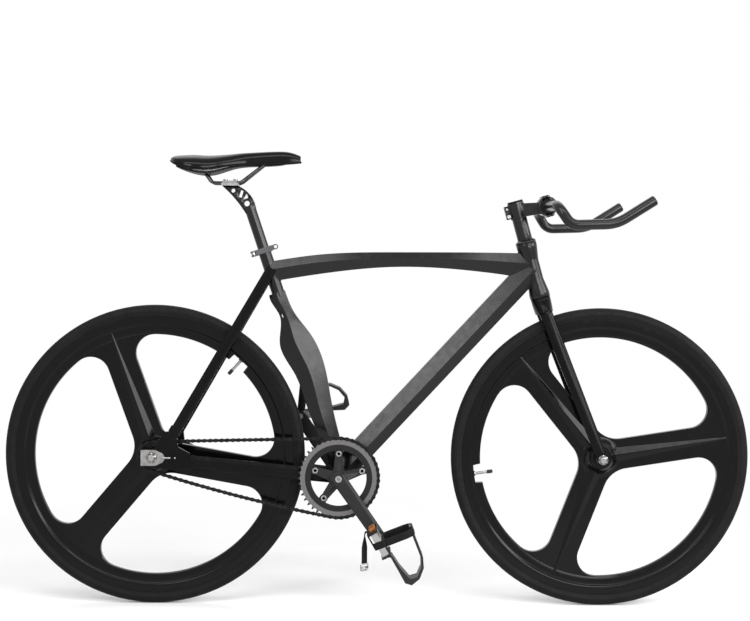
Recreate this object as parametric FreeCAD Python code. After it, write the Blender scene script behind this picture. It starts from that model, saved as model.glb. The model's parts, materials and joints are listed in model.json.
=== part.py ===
import FreeCAD, Part
import math
import os

# Fixed-gear bicycle with three-spoke cast wheels and toe clips, in millimetres.
# +X points forwards, +Z up, and the drive side is at -Y.
# The origin lies on the ground, midway between the two axles.

V = FreeCAD.Vector

# Layout of the bicycle
TYRE_RADIUS = 336.0
BOTTOM_BRACKET_DROP = 46.0
FRONT_TYRE_ROOM = 254.0
REAR_TYRE_ROOM = 79.0
CROWN_ROOM = 47.0
SEAT_LEAN = 18.7
HEAD_LEAN = 15.5
FORK_OFFSET = 37.0
REAR_HUB_SPACING = 120.0
FRONT_HUB_SPACING = 100.0

# Clearances
RUNNING_FIT = 0.05
BODY_GAP = 0.4
REST_GAP = 0.3
BOOLEAN_MARGIN = 1.0

# Chain and sprockets
CHAIN_PITCH = 12.7
CHAIN_SAG = 6.0
CHAIN_LINE = 42.0
CHAINRING_TEETH = 44
COG_TEETH = 16
ROLLER_RADIUS = 3.875
ROLLER_SIDES = 6
SEAT_CLEARANCE = 0.3
SEAT_HALF_ANGLE = 62.0
TOOTH_HEIGHT = 2.6
TOOTH_TIP_WIDTH = 2.2
SPROCKET_THICKNESS = 2.9
INNER_WIDTH = 3.5
LINK_PLATE_THICKNESS = 1.2
LINK_PLATE_HEIGHT = 8.2
LINK_WAIST_HEIGHT = 5.6

# Wheels
TYRE_HEIGHT = 25.0
RIM_DEPTH = 41.0
RIM_WALL = 2.6
RIM_WIDTH = 24.6
RIM_INNER_WIDTH = 16.0
SPOKE_COUNT = 3
SPOKE_WIDTH = 68.0
SPOKE_RIDGE_THICKNESS = 26.0
SPOKE_EDGE_THICKNESS = 12.0
WINDOW_HUB_ROUND = 60.0
WINDOW_RIM_ROUND = 42.0
HUB_RADIUS = 27.0
HUB_FOOT_RADIUS = 58.0
HUB_STEP = 5.0
REAR_SPOKE_ANGLE = 110.0
FRONT_SPOKE_ANGLE = 129.0
REAR_VALVE_ANGLE = 48.0
FRONT_VALVE_ANGLE = 188.0
VALVE_NOTCH_WIDTH = 38.0
VALVE_NOTCH_DEPTH = 16.0
VALVE_RADIUS = 3.0
VALVE_LENGTH = 62.0
TYRE_WIDTH = 27.0
TYRE_BEAD_WIDTH = 23.0
TYRE_SHOULDER_WIDTH = 17.0
TUBE_WIDTH = 17.0
TUBE_CROWN_WIDTH = 12.0
TYRE_CROWN_WALL = 8.0
TUBE_SKIN = 1.2
HUB_BEARING_RADIUS = 13.0
HUB_BEARING_WIDTH = 8.0
HUB_END_GAP = 8.0
COG_SEAT_RADIUS = 17.0
LOCKRING_RADIUS = 21.0
LOCKRING_WIDTH = 4.0
LOCKRING_NOTCH_WIDTH = 4.0
LOCKRING_NOTCH_DEPTH = 2.0
LOCKRING_NOTCHES = 4

# Axles and their nuts
REAR_AXLE_RADIUS = 5.0
FRONT_AXLE_RADIUS = 4.5
AXLE_CONE_RADIUS = 8.5
NUT_FLATS = 15.0
NUT_FLANGE_RADIUS = 11.0
NUT_FLANGE_HEIGHT = 2.0
NUT_HEIGHT = 9.0
AXLE_STICK_OUT = 3.0

# Frame tubes
TUBE_WALL = 2.2
SEAT_TUBE_RADIUS = 14.3
SEAT_TUBE_LENGTH = 540.0
SEAT_TUBE_ROUND_FROM = 425.0
SEAT_TUBE_CREASE = 0.48
SEAT_TUBE_FLAT = 13.0
# Seat tube stations: height, then the swell at the back, the front and each side beyond the round tube
SEAT_TUBE_STATIONS = [
    (0, 4.7, 9.7, 5.0),
    (130, 2.7, 18.7, 5.0),
    (205, 4.2, 28.7, 5.0),
    (262, 10.2, 33.7, 5.0),
    (315, 19.2, 27.7, 4.5),
    (362, 3.0, 11.7, 3.5),
    (400, 1.6, 3.0, 2.6),
    (SEAT_TUBE_ROUND_FROM + 20, 1.2, 1.2, 2.2),
]
HEAD_TUBE_LENGTH = 125.0
HEAD_COLLAR_RADIUS = 23.0
HEAD_COLLAR_HEIGHT = 9.0
HEAD_WAIST_RADIUS = 18.0
DOWN_TUBE_HEAD_HEIGHT = 66.0
DOWN_TUBE_DEPTH = 53.0
DOWN_TUBE_RISE = 2.5
DOWN_TUBE_WIDTH = 42.0
DOWN_TUBE_FLAT = 16.0
DOWN_TUBE_CREASE = 0.57
TOP_TUBE_WIDTH = 36.0
TOP_TUBE_FLAT = 18.0
TOP_TUBE_CREASE = 0.4
TOP_TUBE_BELOW_SEAT = 50.0
TOP_TUBE_BELOW_HEAD = 46.0
# Top tube stations: share of the length, then the height above and the depth below the line of its ends
TOP_TUBE_STATIONS = [
    (0.0, 17.0, 29.0),
    (0.12, 26.3, 18.7),
    (0.25, 32.0, 9.5),
    (0.48, 31.5, 1.5),
    (0.72, 28.2, 10.3),
    (0.9, 24.7, 24.9),
    (1.0, 22.3, 36.7),
]
SHELL_RADIUS = 20.5
SHELL_BORE_RADIUS = 17.0
SHELL_WIDTH = 68.0
STAY_WIDTH = 12.0
STAY_WALL = 1.6
CHAINSTAY_DEPTH = 30.0
CHAINSTAY_FRONT_OFFSET = 20.5
SEATSTAY_DEPTH = 23.0
SEATSTAY_TOP_OFFSET = 14.5
SEATSTAY_TOP_FORWARD = 4.5
TRACK_END_THICKNESS = 7.0
TRACK_SLOT_FORWARD = 12.0
TRACK_END_OUTLINE = [
    (-30, -14),
    (-30, 14),
    (6, 20),
    (28, 58),
    (54, 58),
    (58, 24),
    (84, 10),
    (84, -22),
    (40, -26),
    (0, -22),
]
CHAINSTAY_REAR_PLACE = (56.0, -7.0)
SEATSTAY_REAR_PLACE = (36.0, 32.0)
TENSIONER_OUTLINE = [(-24, -17.5), (-24, 17.5), (8, 17.5), (24, 10), (30, 0), (24, -10), (8, -17.5)]
TENSIONER_THICKNESS = 3.0
TENSIONER_BOSS = 5.0
TENSIONER_BOSS_PLACE = (42.0, 50.0)
TENSIONER_BOLT_RADIUS = 2.0
TENSIONER_BOLT_LAP = 8.0

# Fork, headset and cockpit
STEERER_RADIUS = 14.3
STEERER_WALL = 2.4
HEADSET_BEARING_RADIUS = 20.5
HEADSET_BEARING_HEIGHT = 7.0
HEADSET_COVER_HEIGHT = 8.0
SPACER_COUNT = 3
SPACER_STACK = 50.0
SPACER_RADIUS = 16.6
HEADSET_COVER_LIP = 1.0
CROWN_HEIGHT = 36.0
CROWN_RACE_HEIGHT = 6.0
CROWN_SWELL = 3.0
CROWN_SIDES = 16
CROWN_TOP_RADIUS = 22.0
CROWN_DEPTH = 40.0
CROWN_WIDTH = 80.0
BLADE_SIDES = 12
BLADE_SPREAD = 29.0
BLADE_TOP_DEPTH = 30.0
BLADE_TOP_WIDTH = 20.0
BLADE_TIP_DEPTH = 26.0
BLADE_TIP_WIDTH = 10.0
BLADE_END_HEIGHT = 14.0
FORK_TIP_RADIUS = 13.0
FORK_TIP_THICKNESS = 6.0
FORK_TIP_FORWARD = 2.0
FORK_NECK = (-12.0, 8.0)
FORK_NECK_LAP = 4.0
STEM_HEIGHT = 36.0
STEM_LENGTH = 66.0
STEM_DROP = 8.0
STEM_RADIUS = 18.6
STEM_SLIT = 2.0
STEM_LUG_REACH = 9.0
STEM_LUG_HALF_WIDTH = 9.0
STEM_LUG_LAP = 4.0
STEM_LUG_INSET = 3.0
STEM_PINCH_SETBACK = 4.0
STEM_ROOT_INSET = 2.0
STEM_ROOT_WIDTH = 30.0
STEM_FRONT_HEIGHT = 26.0
STEM_FRONT_WIDTH = 34.0
STEM_CAP_HEIGHT = 4.0
STEM_CAP_INSET = 1.0
STEM_PLUG_DEPTH = 12.0
SOCKET_RADIUS = 3.0
BAR_CLAMP_RADIUS = 15.9
BAR_CLAMP_WIDTH = 46.0
BAR_CLAMP_WALL = 6.0
CLAMP_EAR = 7.0
CLAMP_EAR_EDGE = 3.5
BAR_RADIUS = 11.1
BAR_WALL = 2.0
BAR_CLAMP_ZONE = 64.0
BAR_HALF_WIDTH = 205.0
BAR_DROP = 46.0
BAR_SHOULDER_INSET = 10.0
BAR_SHOULDER_DROP = 5.0
BAR_SHOULDER_REACH = 27.0
BAR_RUN = 96.0
BAR_RUN_RISE = 3.0
BAR_HORN_REACH = 79.0
BAR_HORN_RISE = 50.0
BAR_BENDS = (30.0, 28.0, 90.0)
PLUG_DEPTH = 14.0
PLUG_CAP_HEIGHT = 3.0
FACEPLATE_SPLIT = 0.8
STEM_BOLT_RADIUS = 2.5
STEM_BOLT_HEAD_RADIUS = 4.2
STEM_BOLT_HEAD_HEIGHT = 4.0
STEM_BOLT_ROOM = 1.0

# Seatpost and saddle
POST_RADIUS = 12.7
POST_WALL = 2.2
POST_INSERTION = 140.0
POST_SHOWN = 88.0
POST_HEAD_RISE = 66.0
POST_HEAD_WIDTH = 22.0
POST_HEAD_LAP = 10.0
POST_HEAD_FLOOR = 6.0
POST_HEAD_STEP = 0.4
POST_HEAD_BACK_DROP = 4.0
POST_HEAD_INSET = 1.0
POST_HEAD_FRONT_BOW = (6.0, 8.0)
POST_HEAD_BACK_BOW = (3.0, 1.0)
# Openings in the post's head: place along x, then height above the head's start.
# The small hole is placed from the saddle clamp instead of the post.
POST_LARGE_HOLE = (-3.0, 17.0)
POST_LARGE_HOLE_RADIUS = 6.2
POST_SMALL_HOLE = (3.0, 54.0)
POST_SMALL_HOLE_RADIUS = 4.6
POST_TRIANGLE = [(-9, 28), (4, 28), (3, 40)]
POST_SLOT = [(-16, 37), (-10, 33), (-1, 46), (-7, 50)]
SADDLE_SETBACK = 26.0
CLAMP_LENGTH = 38.0
CLAMP_WIDTH = 54.0
CRADLE_HEIGHT = 6.0
CLAMP_PLATE_HEIGHT = 5.0
CLAMP_PLATE_LENGTH = 32.0
CLAMP_BOLT_OFFSET = 11.2
RAIL_RADIUS = 3.5
RAIL_SPREAD = 22.0
RAIL_TAIL_FLARE = 8.0
RAIL_TAIL_REACH = 62.0
RAIL_TAIL_RISE = 32.0
RAIL_TAIL_BEND = 40.0
RAIL_NOSE_BEND = 23.0
RAIL_NOSE_REACH = 86.0
RAIL_NOSE_RISE = 50.0
RAIL_NOSE_SPREAD = 9.0
RAIL_BENDS = (14.0, 22.0)
CLAMP_BOLT_RADIUS = 3.0
CLAMP_BOLT_HEAD_RADIUS = 5.0
CLAMP_BOLT_HEAD_HEIGHT = 4.0
SADDLE_SHELL_THICKNESS = 4.0
SADDLE_SHELL_INSET = 6.0
SADDLE_SHELL_DRAFT = 1.0
SADDLE_SHOULDER_WIDTH = 0.86
SADDLE_SHOULDER_HEIGHT = 0.62
COLLAR_HEIGHT = 13.0
COLLAR_WALL = 3.8
COLLAR_SLIT = 3.0
COLLAR_EAR_HALF_WIDTH = 8.0
COLLAR_EAR_TRIM = 1.0
LEVER_LENGTH = 58.0
LEVER_THICKNESS = 4.0
LEVER_RING_RADIUS = 6.0
LEVER_RING_HOLE = 3.6
CAM_RADIUS = 6.0
CAM_PIN_RADIUS = 2.5
CAM_EYE_RADIUS = 4.6
CAM_EYE_HEIGHT = 5.2
SKEWER_RADIUS = 2.5
SKEWER_NUT_LENGTH = 6.0
SKEWER_NUT_RADIUS = 5.0
LEVER_INSET = 1.0

# Cranks
CRANK_LENGTH = 155.0
CRANK_ANGLE = -54.2
CRANK_WIDTH = 28.0
CRANK_ROOT_SWELL = 2.0
CRANK_THICKNESS = 13.0
CRANK_BOSS_RADIUS = 17.0
CRANK_BOSS_LENGTH = 16.0
CRANK_FLARE = 18.5
SPIDER_ARMS = 5
BOLT_CIRCLE_RADIUS = 55.0
SPIDER_THICKNESS = 4.0
SPIDER_ARM_WIDTH = 15.0
SPIDER_ROOT_WIDTH = 24.0
SPIDER_ROOT_LAP = 4.0
CHAINRING_INNER_RADIUS = 62.0
CHAINRING_TAB_RADIUS = 9.0
CHAINRING_BOLT_RADIUS = 4.0
CHAINRING_BOLT_HEAD_RADIUS = 6.5
CHAINRING_BOLT_HEAD_HEIGHT = 1.6
SPINDLE_RADIUS = 8.5
SPINDLE_SQUARE = 12.6
CRANK_BOLT_RADIUS = 4.0
CRANK_BOLT_HEAD_RADIUS = 7.4
CRANK_BOLT_HEAD_HEIGHT = 4.0
CRANK_BOLT_DEPTH = 14.0
CUP_FLANGE_RADIUS = 19.0
CUP_FLANGE_WIDTH = 3.0
CUP_DEPTH = 18.0

# Pedals, toe clips and straps
PEDAL_PITCH_RIGHT = -59.5
PEDAL_PITCH_LEFT = 4.0
PEDAL_AXLE_RADIUS = 5.0
PEDAL_THREAD_RADIUS = 7.0
PEDAL_FLANGE_RADIUS = 9.0
PEDAL_FLANGE_WIDTH = 3.0
PEDAL_GAP = 3.0
PEDAL_WIDTH = 90.0
PEDAL_LENGTH = 62.0
PEDAL_HEIGHT = 22.0
PEDAL_SLEEVE_RADIUS = 9.0
PEDAL_WALL = 4.0
PEDAL_RECESS = 3.0
PEDAL_PLATE_HEIGHT = 14.0
PEDAL_TEETH = 7
PEDAL_TOOTH_DEPTH = 2.5
CLIP_LENGTH = 114.0
CLIP_HEIGHT = 77.0
CLIP_THICKNESS = 5.0
CLIP_TOE_SWELL = 9.0
CLIP_WIDTH = 44.0
STRAP_WIDTH = 16.0
STRAP_THICKNESS = 2.4
STRAP_LEAN = 9.0
STRAP_TWIST = 55.0
STRAP_TAIL_LENGTH = 58.0
STRAP_TAIL_INSET = 1.0
STRAP_START = -3.2
STRAP_KINK = 4.0
# Fall of the strap behind the pedal: steps back and up from the pedal's rear corner
STRAP_FALL = [(-3.5, 1.5), (-6.5, -1.5), (-7.0, -8.0), (-7.0, -18.0)]
STRAP_TAIL_TOP = (-7.0, -10.0)
BUCKLE_LENGTH = 14.0
BUCKLE_WIDTH = 21.0
BUCKLE_THICKNESS = 5.0
REFLECTOR_LENGTH = 46.0
REFLECTOR_HEIGHT = 14.0
REFLECTOR_THICKNESS = 5.0
REFLECTOR_PLACE = 37.8
REFLECTOR_CHAMFER = 1.2


# Small tools for shapes

def polygon(points):
    return Part.makePolygon(list(points) + [points[0]])


def outward(solid):
    """The solid with its faces pointing outwards."""
    if solid.Volume < 0:
        solid.reverse()
    return solid


def turned_y(profile):
    """Solid of revolution about Y from (radius, y) points."""
    face = Part.Face(polygon([V(radius, along, 0) for radius, along in profile]))
    return outward(face.revolve(V(0, 0, 0), V(0, 1, 0), 360))


def turned_z(profile):
    """Solid of revolution about Z from (radius, z) points."""
    face = Part.Face(polygon([V(radius, 0, along) for radius, along in profile]))
    return outward(face.revolve(V(0, 0, 0), V(0, 0, 1), 360))


def rod_y(radius, start, end, x=0.0, z=0.0):
    return Part.makeCylinder(radius, end - start, V(x, start, z), V(0, 1, 0))


def rod_x(radius, start, end, y=0.0, z=0.0):
    return Part.makeCylinder(radius, end - start, V(start, y, z), V(1, 0, 0))


def rod_z(radius, start, end, x=0.0, y=0.0):
    return Part.makeCylinder(radius, end - start, V(x, y, start), V(0, 0, 1))


def ring_y(outer, inner, start, end):
    return turned_y([(inner, start), (outer, start), (outer, end), (inner, end)])


def ring_z(outer, inner, start, end):
    return turned_z([(inner, start), (outer, start), (outer, end), (inner, end)])


def block(x_range, y_range, z_range):
    size = [high - low for low, high in (x_range, y_range, z_range)]
    return Part.makeBox(*size, V(x_range[0], y_range[0], z_range[0]))


def plate_y(points, start, end):
    """Plate between two Y values from an (x, z) outline."""
    face = Part.Face(polygon([V(x, start, z) for x, z in points]))
    return outward(face.extrude(V(0, end - start, 0)))


def loft(sections, ruled=False):
    cubic = 3
    return outward(Part.makeLoft(sections, True, ruled, False, cubic))


def main_solid(shape):
    """The largest solid of a coped shape, without the offcuts."""
    return max(shape.Solids, key=lambda solid: solid.Volume)


def coped(outside, *cutters):
    """Tube cut one by one by its own hollow and by the pieces that it meets."""
    for cutter in cutters:
        outside = outside.cut(cutter)
    return main_solid(outside)


def mirrored(shape):
    return shape.mirror(V(0, 0, 0), V(0, 1, 0))


def both_sides(shape):
    return [shape, mirrored(shape)]


def placed(shape, placement):
    """A copy of the shape, moved as a rigid piece."""
    copy = shape.copy()
    copy.Placement = placement.multiply(copy.Placement)
    return copy


def turn_about_y(angle):
    """Rotation that lifts +X towards +Z by the angle in degrees."""
    return FreeCAD.Placement(V(0, 0, 0), FreeCAD.Rotation(V(0, 1, 0), -angle))


def leaning_back(origin, lean):
    """Placement whose local Z leans back from the vertical by the angle in degrees."""
    return FreeCAD.Placement(origin, FreeCAD.Rotation(V(0, 1, 0), -lean))


def pointing(origin, target):
    """Placement whose local Z runs from one point to another in the side plane."""
    angle = math.degrees(math.atan2(target.x - origin.x, target.z - origin.z))
    return FreeCAD.Placement(origin, FreeCAD.Rotation(V(0, 1, 0), angle))


def rod_between(radius, start, end):
    return Part.makeCylinder(radius, (end - start).Length, start, end - start)


def bent_rod(points, bends, radius):
    """Round rod through the points, with a bend of a given radius at each inner point."""
    pieces = []
    start = points[0]
    for before, corner, after, bend in zip(points, points[1:], points[2:], bends):
        towards = (before - corner).normalize()
        away = (after - corner).normalize()
        half_angle = towards.getAngle(away) / 2
        first = corner + towards * (bend / math.tan(half_angle))
        last = corner + away * (bend / math.tan(half_angle))
        centre = corner + (towards + away).normalize() * (bend / math.sin(half_angle))
        axis = (first - centre).cross(towards * -1)
        disc = Part.Face(Part.Wire(Part.makeCircle(radius, first, towards)))
        elbow = disc.revolve(centre, axis, 180 - math.degrees(2 * half_angle))
        pieces += [rod_between(radius, start, first), outward(elbow)]
        start = last
    pieces.append(rod_between(radius, start, points[-1]))
    return pieces[0].fuse(pieces[1:])


def export(name, *solids):
    shape = solids[0] if len(solids) == 1 else Part.makeCompound(list(solids))
    shape.exportStep(os.path.join("parts", name + ".step"))


# Sizes that follow from the ones above
RIM_RADIUS = TYRE_RADIUS - TYRE_HEIGHT
RIM_INNER_RADIUS = RIM_RADIUS - RIM_DEPTH
FRONT_CENTRE = TYRE_RADIUS + FRONT_TYRE_ROOM
FORK_LENGTH = TYRE_RADIUS + CROWN_ROOM
SEATSTAY_TOP_HEIGHT = SEAT_TUBE_LENGTH - TOP_TUBE_BELOW_SEAT
POST_BOTTOM = SEAT_TUBE_LENGTH - POST_INSERTION
POST_HEAD_START = SEAT_TUBE_LENGTH + POST_SHOWN
SADDLE_CLAMP_HEIGHT = POST_HEAD_START + POST_HEAD_RISE
HALF_LINKS = (TYRE_RADIUS + REAR_TYRE_ROOM) / CHAIN_PITCH + (CHAINRING_TEETH + COG_TEETH) / 4
CHAIN_LINKS = 2 * math.ceil(HALF_LINKS)


# Chain loop: the straight upper run, the chainring, the sagging lower run and the cog

def pitch_radius(teeth):
    return CHAIN_PITCH / (2 * math.sin(math.pi / teeth))


RING_PITCH_RADIUS = pitch_radius(CHAINRING_TEETH)
COG_PITCH_RADIUS = pitch_radius(COG_TEETH)


def chain_loop(centres):
    """Stretches of the loop in the chain plane, with the rear axle at zero and the chainring along +a."""
    rise = math.asin((RING_PITCH_RADIUS - COG_PITCH_RADIUS) / centres)
    top = math.pi / 2 + rise
    sag_radius = centres ** 2 / (8 * CHAIN_SAG)
    to_cog = sag_radius - COG_PITCH_RADIUS
    to_ring = sag_radius - RING_PITCH_RADIUS
    sag_a = (centres ** 2 + to_cog ** 2 - to_ring ** 2) / (2 * centres)
    sag_b = math.sqrt(to_cog ** 2 - sag_a ** 2)
    ring_end = math.atan2(-sag_b, centres - sag_a)
    cog_start = math.atan2(-sag_b, -sag_a)
    leave = (COG_PITCH_RADIUS * math.cos(top), COG_PITCH_RADIUS * math.sin(top))
    run = centres * math.cos(rise)
    return [
        ("line", leave, rise, run),
        ("arc", (centres, 0.0), RING_PITCH_RADIUS, top, top - ring_end),
        ("arc", (sag_a, sag_b), sag_radius, ring_end, ring_end - cog_start),
        ("arc", (0.0, 0.0), COG_PITCH_RADIUS, cog_start, cog_start - top + 2 * math.pi),
    ]


def stretch_length(stretch):
    return stretch[3] if stretch[0] == "line" else stretch[2] * stretch[4]


def loop_point(loop, distance):
    """Point at a distance along the loop, and the number of its stretch."""
    for number, stretch in enumerate(loop):
        length = stretch_length(stretch)
        if distance <= length or number == len(loop) - 1:
            break
        distance -= length
    if stretch[0] == "line":
        (a, b), angle = stretch[1], stretch[2]
        return (a + distance * math.cos(angle), b + distance * math.sin(angle)), number
    (a, b), radius, start = stretch[1], stretch[2], stretch[3]
    angle = start - distance / radius
    return (a + radius * math.cos(angle), b + radius * math.sin(angle)), number


def next_roller(loop, distance):
    """Distance along the loop of the roller that is one pitch further on."""
    here, _ = loop_point(loop, distance)
    low = distance + 0.9 * CHAIN_PITCH
    high = distance + 1.1 * CHAIN_PITCH
    while high - low > 1e-9:
        middle = (low + high) / 2
        there, _ = loop_point(loop, middle)
        if math.dist(here, there) < CHAIN_PITCH:
            low = middle
        else:
            high = middle
    return low


def roller_distances(loop):
    """Distances of all rollers along the loop, and of the roller that should close it."""
    distances = [0.0]
    for _ in range(CHAIN_LINKS):
        distances.append(next_roller(loop, distances[-1]))
    return distances


def solve_centres():
    """Distance between the axle and the bottom bracket at which the chain closes."""
    straight = (CHAIN_LINKS - (CHAINRING_TEETH + COG_TEETH) / 2) * CHAIN_PITCH / 2
    low = straight - 2 * CHAIN_PITCH
    high = straight + 2 * CHAIN_PITCH
    while high - low > 1e-7:
        middle = (low + high) / 2
        loop = chain_loop(middle)
        if roller_distances(loop)[-1] > sum(stretch_length(s) for s in loop):
            low = middle
        else:
            high = middle
    return (low + high) / 2


CENTRES = solve_centres()
LOOP = chain_loop(CENTRES)

# Main points of the bicycle
REAR_REACH = math.sqrt(CENTRES ** 2 - BOTTOM_BRACKET_DROP ** 2)
FRONT_REACH = math.sqrt(FRONT_CENTRE ** 2 - BOTTOM_BRACKET_DROP ** 2)
BRACKET_X = (REAR_REACH - FRONT_REACH) / 2
BRACKET = V(BRACKET_X, 0, TYRE_RADIUS - BOTTOM_BRACKET_DROP)
REAR_AXLE = V(BRACKET_X - REAR_REACH, 0, TYRE_RADIUS)
FRONT_AXLE = V(BRACKET_X + FRONT_REACH, 0, TYRE_RADIUS)
SEAT_FRAME = leaning_back(BRACKET, SEAT_LEAN)
HEAD_FORWARD = V(math.cos(math.radians(HEAD_LEAN)), 0, math.sin(math.radians(HEAD_LEAN)))
STEER_FRAME = leaning_back(FRONT_AXLE - HEAD_FORWARD * FORK_OFFSET, HEAD_LEAN)
CHAIN_SLOPE = math.degrees(math.asin(BOTTOM_BRACKET_DROP / CENTRES))
CHAIN_FRAME = FreeCAD.Placement(REAR_AXLE, FreeCAD.Rotation(V(0, 1, 0), CHAIN_SLOPE))

# Heights along the steering axis
HEAD_BOTTOM = FORK_LENGTH + BODY_GAP
HEAD_TOP = HEAD_BOTTOM + HEAD_TUBE_LENGTH
COVER_TOP = HEAD_TOP + BODY_GAP + HEADSET_COVER_HEIGHT
STEM_BOTTOM = COVER_TOP + SPACER_STACK
STEM_TOP = STEM_BOTTOM + STEM_HEIGHT
BAR_HEIGHT = STEM_BOTTOM + STEM_HEIGHT / 2 - STEM_DROP


# Chain and sprockets

def chain():
    """Inner links of plates and rollers, and the outer plates that join them."""
    spots = [loop_point(LOOP, d)[0] for d in roller_distances(LOOP)[:-1]]
    reach = CHAIN_PITCH / 2 + LINK_PLATE_HEIGHT / 2
    half = LINK_PLATE_HEIGHT / 2
    upper = [(-CHAIN_PITCH / 2, half), (0, LINK_WAIST_HEIGHT / 2), (CHAIN_PITCH / 2, half)]
    outline = [(-reach, 0)] + upper + [(reach, 0)] + [(x, -z) for x, z in reversed(upper)]
    inner_face = INNER_WIDTH / 2
    inner_plate = plate_y(outline, inner_face, inner_face + LINK_PLATE_THICKNESS)
    outer_plate = inner_plate.translated(V(0, LINK_PLATE_THICKNESS, 0))
    turns = [2 * math.pi * side / ROLLER_SIDES for side in range(ROLLER_SIDES)]
    roller_outline = [(ROLLER_RADIUS * math.cos(t), ROLLER_RADIUS * math.sin(t)) for t in turns]
    roller = plate_y(roller_outline, -inner_face, inner_face)
    solids = []
    for number, (here, there) in enumerate(zip(spots, spots[1:] + spots[:1])):
        angle = math.degrees(math.atan2(there[1] - here[1], there[0] - here[0]))
        centre = V((here[0] + there[0]) / 2, -CHAIN_LINE, (here[1] + there[1]) / 2)
        spot = FreeCAD.Placement(centre, FreeCAD.Rotation(V(0, 1, 0), -angle))
        spot = CHAIN_FRAME.multiply(spot)
        pieces = both_sides(outer_plate)
        if number % 2 == 0:
            ends = [roller.translated(V(x, 0, 0)) for x in (-CHAIN_PITCH / 2, CHAIN_PITCH / 2)]
            pieces = both_sides(inner_plate) + ends
        solids += [placed(piece, spot) for piece in pieces]
    return solids


def seated_angle(stretch_number, centre_a):
    """Angle in the chain plane of one roller that sits on the sprocket."""
    for distance in roller_distances(LOOP):
        (a, b), number = loop_point(LOOP, distance)
        if number == stretch_number:
            return math.atan2(b, a - centre_a)


def toothed_disc(teeth, phase):
    """Sprocket blank with a round seat for every roller, centred on zero in the chain plane."""
    radius = pitch_radius(teeth)
    seat = ROLLER_RADIUS + SEAT_CLEARANCE
    half_angle = math.radians(SEAT_HALF_ANGLE)
    tip_radius = radius + TOOTH_HEIGHT
    tip_turn = TOOTH_TIP_WIDTH / (2 * tip_radius)
    edges = []

    def seat_point(angle, swing):
        out = radius - seat * math.cos(swing)
        side = seat * math.sin(swing)
        x = out * math.cos(angle) - side * math.sin(angle)
        z = out * math.sin(angle) + side * math.cos(angle)
        return V(x, 0, z)

    def tip_point(angle):
        return V(tip_radius * math.cos(angle), 0, tip_radius * math.sin(angle))

    for tooth in range(teeth):
        angle = phase + 2 * math.pi * tooth / teeth
        crest = angle + math.pi / teeth
        first = seat_point(angle, -half_angle)
        last = seat_point(angle, half_angle)
        following = seat_point(angle + 2 * math.pi / teeth, -half_angle)
        edges.append(Part.Arc(first, seat_point(angle, 0), last).toShape())
        edges.append(Part.LineSegment(last, tip_point(crest - tip_turn)).toShape())
        edges.append(Part.LineSegment(tip_point(crest - tip_turn), tip_point(crest + tip_turn)).toShape())
        edges.append(Part.LineSegment(tip_point(crest + tip_turn), following).toShape())
    face = Part.Face(Part.Wire(edges))
    disc = outward(face.extrude(V(0, SPROCKET_THICKNESS, 0)))
    return disc.translated(V(0, -CHAIN_LINE - SPROCKET_THICKNESS / 2, 0))


def bolt_spots():
    """Chainring bolt places on the spider, the first one in line with the right crank."""
    turns = [math.radians(CRANK_ANGLE + 360 * arm / SPIDER_ARMS) for arm in range(SPIDER_ARMS)]
    return [(BOLT_CIRCLE_RADIUS * math.cos(t), BOLT_CIRCLE_RADIUS * math.sin(t)) for t in turns]


def chainring():
    """Toothed ring with a tab for each bolt, already turned to mesh with the chain."""
    inner_face = -CHAIN_LINE - SPROCKET_THICKNESS / 2
    outer_face = -CHAIN_LINE + SPROCKET_THICKNESS / 2
    disc = toothed_disc(CHAINRING_TEETH, seated_angle(1, CENTRES))
    disc = placed(disc, turn_about_y(-CHAIN_SLOPE))
    disc = disc.cut(rod_y(CHAINRING_INNER_RADIUS, inner_face - BOOLEAN_MARGIN, outer_face + BOOLEAN_MARGIN))
    for x, z in bolt_spots():
        towards = math.degrees(math.atan2(z, x))
        tab_length = CHAINRING_INNER_RADIUS - BOLT_CIRCLE_RADIUS + BOOLEAN_MARGIN
        tab = block((0, tab_length), (inner_face, outer_face), (-CHAINRING_TAB_RADIUS, CHAINRING_TAB_RADIUS))
        tab = placed(tab.translated(V(BOLT_CIRCLE_RADIUS, 0, 0)), turn_about_y(towards))
        disc = disc.fuse([tab, rod_y(CHAINRING_TAB_RADIUS, inner_face, outer_face, x, z)])
    for x, z in bolt_spots():
        low = inner_face - BOOLEAN_MARGIN
        high = outer_face + BOOLEAN_MARGIN
        disc = disc.cut(rod_y(CHAINRING_BOLT_RADIUS, low, high, x, z))
    return disc.removeSplitter().translated(BRACKET)


def chainring_bolts():
    """Bolts through the spider and the ring, with a head outside and a nut inside."""
    outside = -CHAIN_LINE - SPROCKET_THICKNESS / 2 - SPIDER_THICKNESS
    inside = -CHAIN_LINE + SPROCKET_THICKNESS / 2
    profile = [
        (0, outside - CHAINRING_BOLT_HEAD_HEIGHT),
        (CHAINRING_BOLT_HEAD_RADIUS, outside - CHAINRING_BOLT_HEAD_HEIGHT),
        (CHAINRING_BOLT_HEAD_RADIUS, outside),
        (CHAINRING_BOLT_RADIUS, outside),
        (CHAINRING_BOLT_RADIUS, inside),
        (CHAINRING_BOLT_HEAD_RADIUS, inside),
        (CHAINRING_BOLT_HEAD_RADIUS, inside + CHAINRING_BOLT_HEAD_HEIGHT),
        (0, inside + CHAINRING_BOLT_HEAD_HEIGHT),
    ]
    bolt = turned_y(profile)
    return [bolt.translated(BRACKET + V(x, 0, z)) for x, z in bolt_spots()]


# Wheels

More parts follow.
